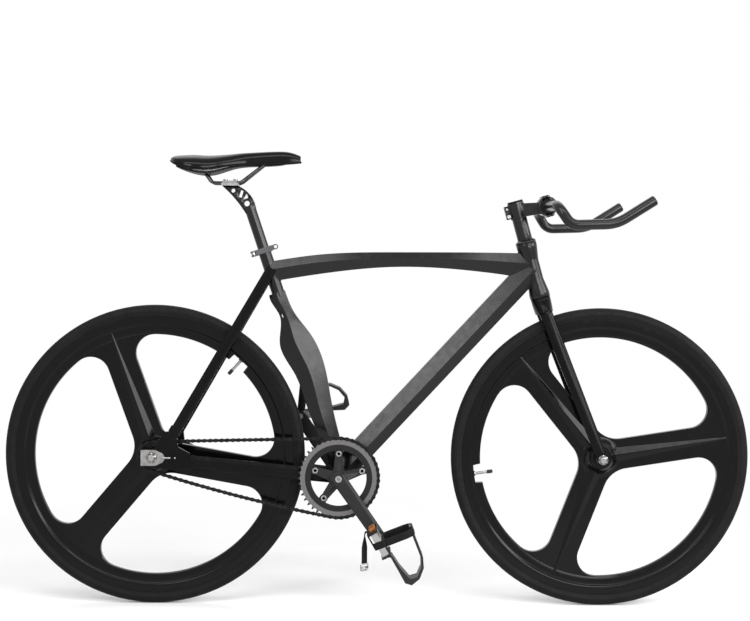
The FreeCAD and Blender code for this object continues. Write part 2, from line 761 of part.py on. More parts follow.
def wheel_window():
    """Opening between two spokes, as a rounded prism about the +X direction."""
    spread = math.pi / SPOKE_COUNT
    half = SPOKE_WIDTH / 2
    along = math.sqrt(RIM_INNER_RADIUS ** 2 - half ** 2)
    inner = V(half / math.sin(spread), 0, 0)
    corner_x = along * math.cos(spread) + half * math.sin(spread)
    corner_z = along * math.sin(spread) - half * math.cos(spread)
    low = V(corner_x, 0, -corner_z)
    high = V(corner_x, 0, corner_z)
    edges = [
        Part.LineSegment(inner, low).toShape(),
        Part.Arc(low, V(RIM_INNER_RADIUS, 0, 0), high).toShape(),
        Part.LineSegment(high, inner).toShape(),
    ]
    depth = REAR_HUB_SPACING
    prism = outward(Part.Face(Part.Wire(edges)).extrude(V(0, depth, 0))).translated(V(0, -depth / 2, 0))

    def upright(edge, spot):
        return all(abs(v.X - spot.x) + abs(v.Z - spot.z) < REST_GAP for v in edge.Vertexes)

    hub_edges = [e for e in prism.Edges if upright(e, inner)]
    prism = prism.makeFillet(WINDOW_HUB_ROUND, hub_edges)
    rim_edges = [e for e in prism.Edges if upright(e, low) or upright(e, high)]
    return prism.makeFillet(WINDOW_RIM_ROUND, rim_edges)


def spoke_web():
    """One spoke with a raised ridge on each face, along +X, with thin webs beside it."""
    half = SPOKE_WIDTH / 2
    web = half + WINDOW_RIM_ROUND
    edge = SPOKE_EDGE_THICKNESS / 2
    ridge = SPOKE_RIDGE_THICKNESS / 2
    upper = [(-web, edge), (-half, edge), (0, ridge), (half, edge), (web, edge)]
    outline = upper + [(z, -y) for z, y in reversed(upper)]
    face = Part.Face(polygon([V(0, y, z) for z, y in outline]))
    return outward(face.extrude(V(RIM_INNER_RADIUS + BOOLEAN_MARGIN, 0, 0)))


def rim(skin=0.0):
    """Deep rim, or with a skin the hollow inside it."""
    inner = RIM_INNER_WIDTH / 2 - skin
    outer = RIM_WIDTH / 2 - skin
    low = RIM_INNER_RADIUS + skin
    high = RIM_RADIUS - skin
    return turned_y([(low, -inner), (high, -outer), (high, outer), (low, inner)])


def spoke_hollow():
    """Hollow inside one spoke, along +X."""
    half = SPOKE_WIDTH / 2 - 2 * RIM_WALL
    edge = SPOKE_EDGE_THICKNESS / 2 - RIM_WALL
    ridge = SPOKE_RIDGE_THICKNESS / 2 - RIM_WALL
    outline = [(-half, edge), (0, ridge), (half, edge), (half, -edge), (0, -ridge), (-half, -edge)]
    start = HUB_FOOT_RADIUS + RIM_WALL
    face = Part.Face(polygon([V(start, y, z) for z, y in outline]))
    return outward(face.extrude(V(RIM_INNER_RADIUS - RIM_WALL - start, 0, 0)))


def hub_profile(end, shoulder):
    """Hub shell that spreads into the spokes, with a step on each side at the shoulder."""
    foot = SPOKE_EDGE_THICKNESS / 2
    step = HUB_RADIUS - HUB_STEP
    side = [(COG_SEAT_RADIUS, end), (COG_SEAT_RADIUS, shoulder), (step, shoulder)]
    side += [(HUB_RADIUS, shoulder - HUB_STEP), (HUB_FOOT_RADIUS, foot)]
    return [(0, -end)] + [(r, -y) for r, y in side] + list(reversed(side)) + [(0, end)]


def wheel(spoke_angle, valve_angle, hub_spacing, shoulder, axle_radius):
    """Cast wheel about the Y axis: hub, three ridged spokes and a deep rim with a valve notch."""
    end = hub_spacing / 2 - HUB_END_GAP
    body = turned_y(hub_profile(end, shoulder))
    web = spoke_web()
    opening = wheel_window()
    step = 360 / SPOKE_COUNT
    angles = [spoke_angle + step * number for number in range(SPOKE_COUNT)]
    body = body.fuse([placed(web, turn_about_y(angle)) for angle in angles])
    disc = rod_y(RIM_INNER_RADIUS + BOOLEAN_MARGIN, -hub_spacing, hub_spacing)
    body = body.common(disc)
    body = body.cut([placed(opening, turn_about_y(angle + step / 2)) for angle in angles])
    notch_width = VALVE_NOTCH_WIDTH / 2
    notch = block(
        (RIM_INNER_RADIUS - WINDOW_RIM_ROUND, RIM_INNER_RADIUS + VALVE_NOTCH_DEPTH),
        (-RIM_WIDTH, RIM_WIDTH),
        (-notch_width, notch_width),
    )
    valve_hole = rod_x(VALVE_RADIUS, RIM_INNER_RADIUS, RIM_RADIUS + BOOLEAN_MARGIN)
    body = body.fuse(rim()).cut([placed(piece, turn_about_y(valve_angle)) for piece in (notch, valve_hole)])
    seat_start = end - HUB_BEARING_WIDTH
    seats = [
        rod_y(HUB_BEARING_RADIUS, seat_start, end + BOOLEAN_MARGIN),
        rod_y(HUB_BEARING_RADIUS, -end - BOOLEAN_MARGIN, -seat_start),
        rod_y(axle_radius + HUB_BEARING_RADIUS / 4, -end, end),
    ]
    body = main_solid(body.cut(seats).removeSplitter())
    boss = notch_width + RIM_WALL
    valve_boss = block((0, TYRE_RADIUS), (-RIM_WIDTH, RIM_WIDTH), (-boss, boss))
    body = body.cut(rim(RIM_WALL).cut(placed(valve_boss, turn_about_y(valve_angle))))
    hollow = spoke_hollow()
    return coped(body, *[placed(hollow, turn_about_y(angle)) for angle in angles])


def hub_bearings(hub_spacing, axle_radius):
    end = hub_spacing / 2 - HUB_END_GAP
    return both_sides(ring_y(HUB_BEARING_RADIUS, axle_radius + RUNNING_FIT, end - HUB_BEARING_WIDTH, end))


def tube_profile(skin=0.0):
    """Inner tube section between the rim and the inside of the tyre, or with a skin its air space."""
    crown = TYRE_RADIUS - TYRE_CROWN_WALL - skin
    base = RIM_RADIUS + skin
    bottom = TUBE_WIDTH / 2 - skin
    top = TUBE_CROWN_WIDTH / 2 - skin
    return [(base, -bottom), (crown, -top), (crown, top), (base, bottom)]


def tyre():
    """Tyre that sits on the rim and holds the inner tube."""
    height = TYRE_RADIUS - RIM_RADIUS
    bead = TYRE_BEAD_WIDTH / 2
    wide = TYRE_WIDTH / 2
    shoulder = TYRE_SHOULDER_WIDTH / 2
    side = [(RIM_RADIUS, bead), (RIM_RADIUS + 0.36 * height, wide), (RIM_RADIUS + 0.8 * height, shoulder)]
    outside = [(r, -y) for r, y in side] + [(TYRE_RADIUS, 0)] + list(reversed(side))
    return turned_y(outside + list(reversed(tube_profile())))


def inner_tube(valve_angle):
    """Air tube with its valve stem through the rim."""
    stem = rod_x(VALVE_RADIUS, RIM_RADIUS - VALVE_LENGTH, RIM_RADIUS + BOOLEAN_MARGIN)
    skin = turned_y(tube_profile()).fuse(placed(stem, turn_about_y(valve_angle)))
    return skin.cut(turned_y(tube_profile(TUBE_SKIN)))


def axle(radius, hub_spacing, clamped):
    """Threaded axle with a cone and locknut that seat on each end of the frame or fork."""
    inside = hub_spacing / 2
    cone = inside - HUB_END_GAP + BODY_GAP
    tip = inside + clamped + NUT_HEIGHT + AXLE_STICK_OUT
    half = [(0, 0), (radius, 0), (radius, cone), (AXLE_CONE_RADIUS, cone), (AXLE_CONE_RADIUS, inside)]
    half += [(radius, inside), (radius, tip), (0, tip)]
    body = turned_y(half)
    return body.fuse(mirrored(body)).removeSplitter()


def axle_nuts(radius, start):
    """Flanged hexagon nuts on both ends of an axle."""
    corner = NUT_FLATS / math.sqrt(3)
    turns = [math.pi / 3 * side for side in range(6)]
    hexagon = [(corner * math.cos(t), corner * math.sin(t)) for t in turns]
    nut = plate_y(hexagon, start, start + NUT_HEIGHT)
    nut = nut.fuse(rod_y(NUT_FLANGE_RADIUS, start, start + NUT_FLANGE_HEIGHT))
    nut = nut.cut(rod_y(radius, start - BOOLEAN_MARGIN, start + NUT_HEIGHT + BOOLEAN_MARGIN))
    return both_sides(nut)


def rear_cog():
    disc = placed(toothed_disc(COG_TEETH, seated_angle(3, 0.0)), turn_about_y(-CHAIN_SLOPE))
    return disc.cut(rod_y(COG_SEAT_RADIUS, -REAR_HUB_SPACING, 0)).translated(REAR_AXLE)


def cog_lockring():
    start = -CHAIN_LINE - SPROCKET_THICKNESS / 2 - LOCKRING_WIDTH
    lockring = ring_y(LOCKRING_RADIUS, COG_SEAT_RADIUS, start, start + LOCKRING_WIDTH)
    half = LOCKRING_NOTCH_WIDTH / 2
    reach = (LOCKRING_RADIUS - LOCKRING_NOTCH_DEPTH, 2 * LOCKRING_RADIUS)
    notch = block((-half, half), (start - BOOLEAN_MARGIN, start + LOCKRING_WIDTH + BOOLEAN_MARGIN), reach)
    turns = [360 * number / LOCKRING_NOTCHES for number in range(LOCKRING_NOTCHES)]
    lockring = lockring.cut([placed(notch, turn_about_y(turn)) for turn in turns])
    return lockring.translated(REAR_AXLE)


# Frame

def head_tube_outside():
    """Hourglass head tube in the steering frame, solid."""
    low = HEAD_BOTTOM
    high = HEAD_TOP
    collar = HEAD_COLLAR_HEIGHT
    radius = HEAD_COLLAR_RADIUS
    waist_low = low + collar + HEAD_TUBE_LENGTH / 4
    waist_high = high - collar - HEAD_TUBE_LENGTH / 4
    profile = [(0, low), (radius, low), (radius, low + collar), (HEAD_WAIST_RADIUS, waist_low)]
    profile += [(HEAD_WAIST_RADIUS, waist_high), (radius, high - collar), (radius, high), (0, high)]
    return turned_z(profile)


def head_tube():
    margin = BOOLEAN_MARGIN
    seat = HEADSET_BEARING_HEIGHT
    bore = STEERER_RADIUS + TUBE_WALL / 2
    body = head_tube_outside().cut([
        rod_z(bore, HEAD_BOTTOM - margin, HEAD_TOP + margin),
        rod_z(HEADSET_BEARING_RADIUS, HEAD_BOTTOM - margin, HEAD_BOTTOM + seat),
        rod_z(HEADSET_BEARING_RADIUS, HEAD_TOP - seat, HEAD_TOP + margin),
    ])
    return placed(body, STEER_FRAME)


def headset_bearings():
    """Cartridge bearings pressed into both ends of the head tube."""
    inner = STEERER_RADIUS + RUNNING_FIT
    height = HEADSET_BEARING_HEIGHT
    lower = ring_z(HEADSET_BEARING_RADIUS, inner, HEAD_BOTTOM, HEAD_BOTTOM + height)
    upper = ring_z(HEADSET_BEARING_RADIUS, inner, HEAD_TOP - height, HEAD_TOP)
    return [placed(lower, STEER_FRAME), placed(upper, STEER_FRAME)]


def hex_section(front, back, half_width, crease, flat, height):
    """Six-sided tube section at a height: two flats and a crease on each side."""
    side = back + (front - back) * crease
    half_flat = flat / 2
    corners = [(front, half_flat), (side, half_width), (back, half_flat)]
    corners += [(x, -y) for x, y in reversed(corners)]
    return polygon([V(x, y, height) for x, y in corners])


def hex_tube(stations, crease, flat):
    """Outside and inside solids through (height, back, front, half width) stations."""
    solids = []
    for wall in (0.0, TUBE_WALL):
        sections = []
        for height, back, front, half in stations:
            sections.append(hex_section(front - wall, back + wall, half - wall, crease, flat - wall, height))
        solids.append(loft(sections))
    return solids


def seat_tube_solids():
    """Seat tube in the seat frame: round at the top and swollen low down, hollowed round the rear wheel."""
    radius = SEAT_TUBE_RADIUS
    stations = []
    for height, back, front, side in SEAT_TUBE_STATIONS:
        stations.append((height, -radius - back, radius + front, radius + side))
    outside, inside = hex_tube(stations, SEAT_TUBE_CREASE, SEAT_TUBE_FLAT)
    upper = rod_z(SEAT_TUBE_RADIUS, SEAT_TUBE_ROUND_FROM, SEAT_TUBE_LENGTH)
    bore = rod_z(POST_RADIUS + RUNNING_FIT, SEAT_TUBE_ROUND_FROM / 2, SEAT_TUBE_LENGTH + BOOLEAN_MARGIN)
    lower_cut = rod_z(2 * SEAT_TUBE_RADIUS, SEAT_TUBE_ROUND_FROM + 10, SEAT_TUBE_LENGTH)
    outside = outside.cut(lower_cut).fuse(upper)
    return [placed(solid, SEAT_FRAME) for solid in (outside, inside.cut(lower_cut), bore)]


def down_tube_frame():
    target = STEER_FRAME.multVec(V(0, 0, HEAD_BOTTOM + DOWN_TUBE_HEAD_HEIGHT))
    return pointing(BRACKET, target), (target - BRACKET).Length


def down_tube_solids():
    """Down tube from the bottom bracket to the head tube, with a crease along each side."""
    spot, length = down_tube_frame()
    lower = DOWN_TUBE_DEPTH / 2 - DOWN_TUBE_RISE
    upper = lower - DOWN_TUBE_DEPTH
    side = DOWN_TUBE_WIDTH / 2
    stations = [(SHELL_RADIUS / 2, upper, lower, side), (length, upper, lower, side)]
    return [placed(solid, spot) for solid in hex_tube(stations, DOWN_TUBE_CREASE, DOWN_TUBE_FLAT)]


def top_tube_solids():
    """Arched top tube from the seat tube to the head tube, outside and inside."""
    back = SEAT_FRAME.multVec(V(0, 0, SEAT_TUBE_LENGTH - TOP_TUBE_BELOW_SEAT))
    front = STEER_FRAME.multVec(V(0, 0, HEAD_TOP - TOP_TUBE_BELOW_HEAD))

    def section(share, above, below, wall):
        middle = back + (front - back) * share
        half = TOP_TUBE_WIDTH / 2 - wall
        flat = TOP_TUBE_FLAT / 2 - wall / 2
        side = above - (above + below) * TOP_TUBE_CREASE
        corners = [(flat, above - wall), (half, side), (flat, wall - below)]
        corners += [(-y, z) for y, z in reversed(corners)]
        return polygon([middle + V(0, y, z) for y, z in corners])

    return [loft([section(*station, wall) for station in TOP_TUBE_STATIONS]) for wall in (0.0, TUBE_WALL)]


def shell_outside():
    return rod_y(SHELL_RADIUS, -SHELL_WIDTH / 2, SHELL_WIDTH / 2).translated(BRACKET)


def bottom_bracket_shell():
    bore = rod_y(SHELL_BORE_RADIUS, -SHELL_WIDTH, SHELL_WIDTH)
    return shell_outside().cut(bore.translated(BRACKET))


def stay(start, end, depth, width, wall):
    """Outside and inside of a flattened stay between two points, its depth in the side plane."""
    heading = (end - start).normalize()
    across = heading.cross(V(0, 1, 0)).normalize()
    sideways = heading.cross(across)

    def section(point, skin):
        half_depth = depth / 2 - skin
        half_width = width / 2 - skin
        corners = [(half_depth, half_width / 3), (half_depth / 2, half_width), (-half_depth / 2, half_width)]
        corners.append((-half_depth, half_width / 3))
        corners += [(a, -b) for a, b in reversed(corners)]
        return polygon([point + across * a + sideways * b for a, b in corners])

    return [loft([section(start, skin), section(end, skin)], ruled=True) for skin in (0.0, wall)]


def track_end():
    """Right-hand track end in the rear axle's own frame, with a slot that opens to the rear."""
    inner = -REAR_HUB_SPACING / 2
    outer = inner - TRACK_END_THICKNESS
    plate = plate_y(TRACK_END_OUTLINE, outer, inner)
    boss_y = outer - TENSIONER_BOSS / 2
    boss = block(TENSIONER_BOSS_PLACE, (outer - TENSIONER_BOSS, outer), (-TENSIONER_BOSS, TENSIONER_BOSS))
    low = outer - BOOLEAN_MARGIN
    high = inner + BOOLEAN_MARGIN
    mouth = TRACK_END_OUTLINE[0][0] - BOOLEAN_MARGIN
    slot = block((mouth, TRACK_SLOT_FORWARD), (low, high), (-REAR_AXLE_RADIUS, REAR_AXLE_RADIUS))
    slot_end = rod_y(REAR_AXLE_RADIUS, low, high, TRACK_SLOT_FORWARD)
    thread = rod_x(TENSIONER_BOLT_RADIUS, 0, TENSIONER_BOSS_PLACE[1] + BOOLEAN_MARGIN, boss_y)
    return plate.cut([slot, slot_end]).fuse(boss.cut(thread)).translated(REAR_AXLE)


def chain_tensioners():
    """Plates on the rear axle outside the track ends, each pulled by a bolt through a boss."""
    face = -REAR_HUB_SPACING / 2 - TRACK_END_THICKNESS
    plate = plate_y(TENSIONER_OUTLINE, face - TENSIONER_THICKNESS, face)
    nose = max(x for x, _ in TENSIONER_OUTLINE)
    bolt_y = face - TENSIONER_BOSS / 2
    end = TENSIONER_BOSS_PLACE[1]
    bolt = rod_x(TENSIONER_BOLT_RADIUS, nose - TENSIONER_BOLT_LAP, end, bolt_y)
    head = rod_x(TENSIONER_BOSS / 2, end, end + TENSIONER_THICKNESS, bolt_y)
    hole = rod_y(REAR_AXLE_RADIUS, face - 2 * TENSIONER_THICKNESS, face + BOOLEAN_MARGIN)
    return both_sides(plate.fuse([bolt, head]).cut(hole).translated(REAR_AXLE))


def stay_ends():
    """Start and end points of the right chainstay and the right seatstay."""
    plate_y_mid = -REAR_HUB_SPACING / 2 - TRACK_END_THICKNESS / 2
    chain_start = BRACKET + V(0, -CHAINSTAY_FRONT_OFFSET, 0)
    chain_end = REAR_AXLE + V(CHAINSTAY_REAR_PLACE[0], plate_y_mid, CHAINSTAY_REAR_PLACE[1])
    seat_start = SEAT_FRAME.multVec(V(SEATSTAY_TOP_FORWARD, -SEATSTAY_TOP_OFFSET, SEATSTAY_TOP_HEIGHT))
    seat_end = REAR_AXLE + V(SEATSTAY_REAR_PLACE[0], plate_y_mid, SEATSTAY_REAR_PLACE[1])
    return chain_start, chain_end, seat_start, seat_end


# Fork

def oval(middle, depth, width, sides):
    """Even-sided oval section across the steering axis."""
    turns = [2 * math.pi * (side + 0.5) / sides for side in range(sides)]
    return polygon([middle + V(depth / 2 * math.cos(t), width / 2 * math.sin(t), 0) for t in turns])


def fork_crown():
    """Steerer tube with the crown that carries the blades and the lower bearing race."""
    low = FORK_LENGTH - CROWN_HEIGHT
    race = CROWN_RACE_HEIGHT
    crown = loft([
        oval(V(0, 0, low), CROWN_DEPTH, CROWN_WIDTH, CROWN_SIDES),
        oval(V(0, 0, low + 0.45 * CROWN_HEIGHT), CROWN_DEPTH + CROWN_SWELL, 0.8 * CROWN_WIDTH, CROWN_SIDES),
        oval(V(0, 0, FORK_LENGTH - race), 2 * CROWN_TOP_RADIUS, 2 * CROWN_TOP_RADIUS, CROWN_SIDES),
    ])
    flange = rod_z(CROWN_TOP_RADIUS, FORK_LENGTH - race, FORK_LENGTH)
    steerer = rod_z(STEERER_RADIUS, FORK_LENGTH - race, STEM_TOP - BODY_GAP)
    bore = rod_z(STEERER_RADIUS - STEERER_WALL, low - BOOLEAN_MARGIN, STEM_TOP)
    return placed(crown.fuse([flange, steerer]).cut(bore), STEER_FRAME)


def fork_blade():
    """Right fork blade in the steering frame, hollow, ending in a slotted tip on the axle."""
    top = FORK_LENGTH - CROWN_HEIGHT
    tip_mid = -FRONT_HUB_SPACING / 2 - FORK_TIP_THICKNESS / 2

    def body(skin):
        start = V(0, -BLADE_SPREAD, top)
        end = V(FORK_OFFSET - FORK_TIP_FORWARD, tip_mid, BLADE_END_HEIGHT + skin)
        return loft([
            oval(start, BLADE_TOP_DEPTH - 2 * skin, BLADE_TOP_WIDTH - 2 * skin, BLADE_SIDES),
            oval(end, BLADE_TIP_DEPTH - 2 * skin, BLADE_TIP_WIDTH - 2 * skin, BLADE_SIDES),
        ], ruled=True)

    inner = tip_mid + FORK_TIP_THICKNESS / 2
    outer = tip_mid - FORK_TIP_THICKNESS / 2
    tip = rod_y(FORK_TIP_RADIUS, outer, inner, FORK_OFFSET)
    neck_span = [FORK_OFFSET + reach for reach in FORK_NECK]
    neck = block(neck_span, (outer, inner), (0, BLADE_END_HEIGHT + FORK_NECK_LAP))
    slot = block(
        (FORK_OFFSET - FRONT_AXLE_RADIUS, FORK_OFFSET + FRONT_AXLE_RADIUS),
        (outer - BOOLEAN_MARGIN, inner + BOOLEAN_MARGIN),
        (-2 * FORK_TIP_RADIUS, 0),
    )
    hole = rod_y(FRONT_AXLE_RADIUS, outer - BOOLEAN_MARGIN, inner + BOOLEAN_MARGIN, FORK_OFFSET)
    blade = body(0.0).cut(body(TUBE_WALL)).fuse([tip, neck]).cut([slot, hole])
    return placed(blade, STEER_FRAME)


def headset_cover():
    low = HEAD_TOP + BODY_GAP
    slope = low + HEADSET_COVER_HEIGHT / 2
    lip = SPACER_RADIUS + HEADSET_COVER_LIP
    profile = [(STEERER_RADIUS, low), (HEAD_COLLAR_RADIUS, low), (HEAD_COLLAR_RADIUS, slope)]
    profile += [(lip, COVER_TOP), (STEERER_RADIUS, COVER_TOP)]
    return placed(turned_z(profile), STEER_FRAME)


def headset_spacers():
    height = SPACER_STACK / SPACER_COUNT
    starts = [COVER_TOP + height * number for number in range(SPACER_COUNT)]
    return [placed(ring_z(SPACER_RADIUS, STEERER_RADIUS, z, z + height), STEER_FRAME) for z in starts]


def faceplate_bolt_spots():
    offset = BAR_CLAMP_RADIUS + STEM_BOLT_RADIUS + STEM_BOLT_ROOM
    return [(side * BAR_CLAMP_WIDTH / 3, BAR_HEIGHT + up * offset) for side in (-1, 1) for up in (-1, 1)]


def bar_clamp(x_range):
    """Part of the handlebar clamp between two distances from the steering axis."""
    half = BAR_CLAMP_WIDTH / 2
    ear = BAR_CLAMP_RADIUS + 2 * STEM_BOLT_RADIUS + CLAMP_EAR_EDGE
    body = rod_y(BAR_CLAMP_RADIUS + BAR_CLAMP_WALL, -half, half, STEM_LENGTH, BAR_HEIGHT)
    ear_span = (STEM_LENGTH - CLAMP_EAR, STEM_LENGTH + CLAMP_EAR)
    body = body.fuse(block(ear_span, (-half, half), (BAR_HEIGHT - ear, BAR_HEIGHT + ear)))
    keep = block(x_range, (-half, half), (BAR_HEIGHT - 2 * ear, BAR_HEIGHT + 2 * ear))
    body = body.common(keep)
    start = x_range[0] - BOOLEAN_MARGIN
    end = x_range[1] + BOOLEAN_MARGIN
    holes = [rod_x(STEM_BOLT_RADIUS, start, end, y, z) for y, z in faceplate_bolt_spots()]
    bar_room = rod_y(BAR_CLAMP_RADIUS, -BAR_CLAMP_WIDTH, BAR_CLAMP_WIDTH, STEM_LENGTH, BAR_HEIGHT)
    return body.cut([bar_room] + holes)


def stem():
    """Stem with a split steerer clamp at the back and half of the handlebar clamp at the front."""
    clamp = rod_z(STEM_RADIUS, STEM_BOTTOM, STEM_TOP)
    lugs = block(
        (-STEM_RADIUS - STEM_LUG_REACH, -STEM_RADIUS + STEM_LUG_LAP),
        (-STEM_LUG_HALF_WIDTH, STEM_LUG_HALF_WIDTH),
        (STEM_BOTTOM + STEM_LUG_INSET, STEM_TOP - STEM_LUG_INSET),
    )
    root = (0, (STEM_BOTTOM + STEM_TOP) / 2, STEM_HEIGHT / 2 - STEM_ROOT_INSET, STEM_ROOT_WIDTH / 2)
    front = (STEM_LENGTH - BAR_CLAMP_RADIUS, BAR_HEIGHT, STEM_FRONT_HEIGHT / 2, STEM_FRONT_WIDTH / 2)
    sections = []
    for x, z, up, wide in (root, front):
        corners = [(-wide, -up), (wide, -up), (wide, up), (-wide, up)]
        sections.append(polygon([V(x, y, z + h) for y, h in corners]))
    extension = loft(sections, ruled=True)
    bore = rod_z(STEERER_RADIUS, STEM_BOTTOM - BOOLEAN_MARGIN, STEM_TOP + BOOLEAN_MARGIN)
    slit = block(
        (-2 * STEM_RADIUS, 0),
        (-STEM_SLIT / 2, STEM_SLIT / 2),
        (STEM_BOTTOM - BOOLEAN_MARGIN, STEM_TOP + BOOLEAN_MARGIN),
    )
    pinch_x = -STEM_RADIUS - STEM_PINCH_SETBACK
    bolts = [rod_y(STEM_BOLT_RADIUS, -STEM_RADIUS, STEM_RADIUS, pinch_x, z) for z in pinch_heights()]
    body = clamp.fuse([lugs, extension, bar_clamp((0, STEM_LENGTH - FACEPLATE_SPLIT))])
    bar = rod_y(BAR_CLAMP_RADIUS, -BAR_CLAMP_WIDTH, BAR_CLAMP_WIDTH, STEM_LENGTH, BAR_HEIGHT)
    return placed(main_solid(body.cut([bore, slit, bar] + bolts)), STEER_FRAME)


def pinch_heights():
    return [STEM_BOTTOM + STEM_HEIGHT * share for share in (0.26, 0.74)]


def stem_faceplate():
    reach = STEM_LENGTH + BAR_CLAMP_RADIUS + BAR_CLAMP_WALL
    front = STEM_LENGTH + CLAMP_EAR
    rooms = [rod_x(STEM_BOLT_HEAD_RADIUS, front, 2 * reach, y, z) for y, z in faceplate_bolt_spots()]
    return placed(bar_clamp((STEM_LENGTH + FACEPLATE_SPLIT, reach)).cut(rooms), STEER_FRAME)


def stem_bolts():
    """Four faceplate bolts and two steerer pinch bolts, each with a cylinder head."""
    solids = []
    front = STEM_LENGTH + CLAMP_EAR
    for y, z in faceplate_bolt_spots():
        shank = rod_x(STEM_BOLT_RADIUS, STEM_LENGTH - CLAMP_EAR, front, y, z)
        solids.append(shank.fuse(rod_x(STEM_BOLT_HEAD_RADIUS, front, front + STEM_BOLT_HEAD_HEIGHT, y, z)))
    for side, z in zip((-1, 1), pinch_heights()):
        x = -STEM_RADIUS - STEM_PINCH_SETBACK
        lug = STEM_LUG_HALF_WIDTH
        shank = rod_y(STEM_BOLT_RADIUS, -lug, lug, x, z)
        start = lug if side > 0 else -lug - STEM_BOLT_HEAD_HEIGHT
        solids.append(shank.fuse(rod_y(STEM_BOLT_HEAD_RADIUS, start, start + STEM_BOLT_HEAD_HEIGHT, x, z)))
    return [placed(solid, STEER_FRAME) for solid in solids]


def stem_cap():
    """Top cap with its bolt down the steerer."""
    cap = rod_z(STEM_RADIUS - STEM_CAP_INSET, STEM_TOP, STEM_TOP + STEM_CAP_HEIGHT)
    plug = rod_z(STEERER_RADIUS - STEERER_WALL, STEM_TOP - STEM_PLUG_DEPTH, STEM_TOP)
    socket = rod_z(SOCKET_RADIUS, STEM_TOP + STEM_CAP_HEIGHT / 2, STEM_TOP + 2 * STEM_CAP_HEIGHT)
    return placed(cap.fuse(plug).cut(socket), STEER_FRAME)


def bar_points():
    """Corner points of the right half of the bar, in the world frame."""
    centre = STEER_FRAME.multVec(V(STEM_LENGTH, 0, BAR_HEIGHT))
    lateral = V(centre.x, -BAR_HALF_WIDTH + BAR_SHOULDER_INSET, centre.z - BAR_SHOULDER_DROP)
    dropped = V(centre.x + BAR_SHOULDER_REACH, -BAR_HALF_WIDTH, centre.z - BAR_DROP)
    run_end = dropped + V(BAR_RUN, 0, BAR_RUN_RISE)
    tip = run_end + V(BAR_HORN_REACH, 0, BAR_HORN_RISE)
    return [centre, lateral, dropped, run_end, tip]


def handlebar():
    """Hollow bullhorn bar with a thicker middle that the stem clamps."""
    half = bent_rod(bar_points(), BAR_BENDS, BAR_RADIUS)
    hollow = bent_rod(bar_points(), BAR_BENDS, BAR_RADIUS - BAR_WALL)
    centre = bar_points()[0]
    bulge = rod_y(BAR_CLAMP_RADIUS, -BAR_CLAMP_ZONE / 2, BAR_CLAMP_ZONE / 2).translated(centre)
    outside = half.fuse([mirrored(half), bulge])
    return outside.cut([hollow, mirrored(hollow)]).removeSplitter()


def bar_end_plugs():
    """Rounded plugs pushed into the horn tips."""
    run_end, tip = bar_points()[-2:]
    heading = (tip - run_end).normalize()
    inner = Part.makeCylinder(BAR_RADIUS - BAR_WALL, PLUG_DEPTH, tip - heading * PLUG_DEPTH, heading)
    cap = Part.makeCone(BAR_RADIUS, BAR_RADIUS - BAR_WALL, PLUG_CAP_HEIGHT, tip, heading)
    return both_sides(inner.fuse(cap))


# Seatpost and saddle

def clamp_centre():
    return SEAT_FRAME.multVec(V(-SADDLE_SETBACK, 0, SADDLE_CLAMP_HEIGHT))


def rail_height():
    return clamp_centre().z + CRADLE_HEIGHT


def seatpost():
    """Round post with a laid-back head that has lightening holes."""
    tube = rod_z(POST_RADIUS, POST_BOTTOM, POST_HEAD_START + POST_HEAD_LAP)
    bore = rod_z(POST_RADIUS - POST_WALL, POST_BOTTOM - BOOLEAN_MARGIN, POST_HEAD_START - POST_HEAD_FLOOR)
    seat = SEAT_FRAME.inverse().multVec(clamp_centre())
    level = SEAT_FRAME.inverse().Rotation.multVec(V(1, 0, 0))
    front = seat + level * (CLAMP_LENGTH / 2 - POST_HEAD_INSET)
    back = seat - level * (CLAMP_LENGTH / 2 - POST_HEAD_INSET)
    low = POST_HEAD_START
    step = POST_RADIUS - POST_HEAD_STEP
    front_low = V(step, 0, low)
    back_low = V(-step, 0, low - POST_HEAD_BACK_DROP)
    front_bow = V(POST_HEAD_FRONT_BOW[0], 0, POST_HEAD_FRONT_BOW[1])
    back_bow = V(POST_HEAD_BACK_BOW[0], 0, POST_HEAD_BACK_BOW[1])
    front_arc = Part.Arc(front_low, (front_low + front) * 0.5 + front_bow, front)
    back_arc = Part.Arc(back, (back_low + back) * 0.5 + back_bow, back_low)
    edges = [
        front_arc.toShape(),
        Part.LineSegment(front, back).toShape(),
        back_arc.toShape(),
        Part.LineSegment(back_low, front_low).toShape(),
    ]
    half = POST_HEAD_WIDTH / 2
    head = outward(Part.Face(Part.Wire(edges)).extrude(V(0, 2 * half, 0))).translated(V(0, -half, 0))
    span = POST_HEAD_WIDTH
    openings = [
        rod_y(POST_LARGE_HOLE_RADIUS, -span, span, *POST_LARGE_HOLE),
        rod_y(POST_SMALL_HOLE_RADIUS, -span, span, POST_SMALL_HOLE[0] - SADDLE_SETBACK, POST_SMALL_HOLE[1]),
        plate_y(POST_TRIANGLE, -span, span),
        plate_y(POST_SLOT, -span, span),
    ]
    post = tube.cut(bore).fuse(head).cut([opening.translated(V(0, 0, low)) for opening in openings])
    return placed(main_solid(post.removeSplitter()), SEAT_FRAME)


def rail_grooves():
    """Rods along both rails, used to groove the clamp halves."""
    centre = clamp_centre()
    rod = rod_x(RAIL_RADIUS, -CLAMP_LENGTH, CLAMP_LENGTH, -RAIL_SPREAD)
    return [rail.translated(V(centre.x, 0, rail_height())) for rail in both_sides(rod)]


def clamp_bolt_spots():
    return [(side * CLAMP_BOLT_OFFSET, 0) for side in (-1, 1)]


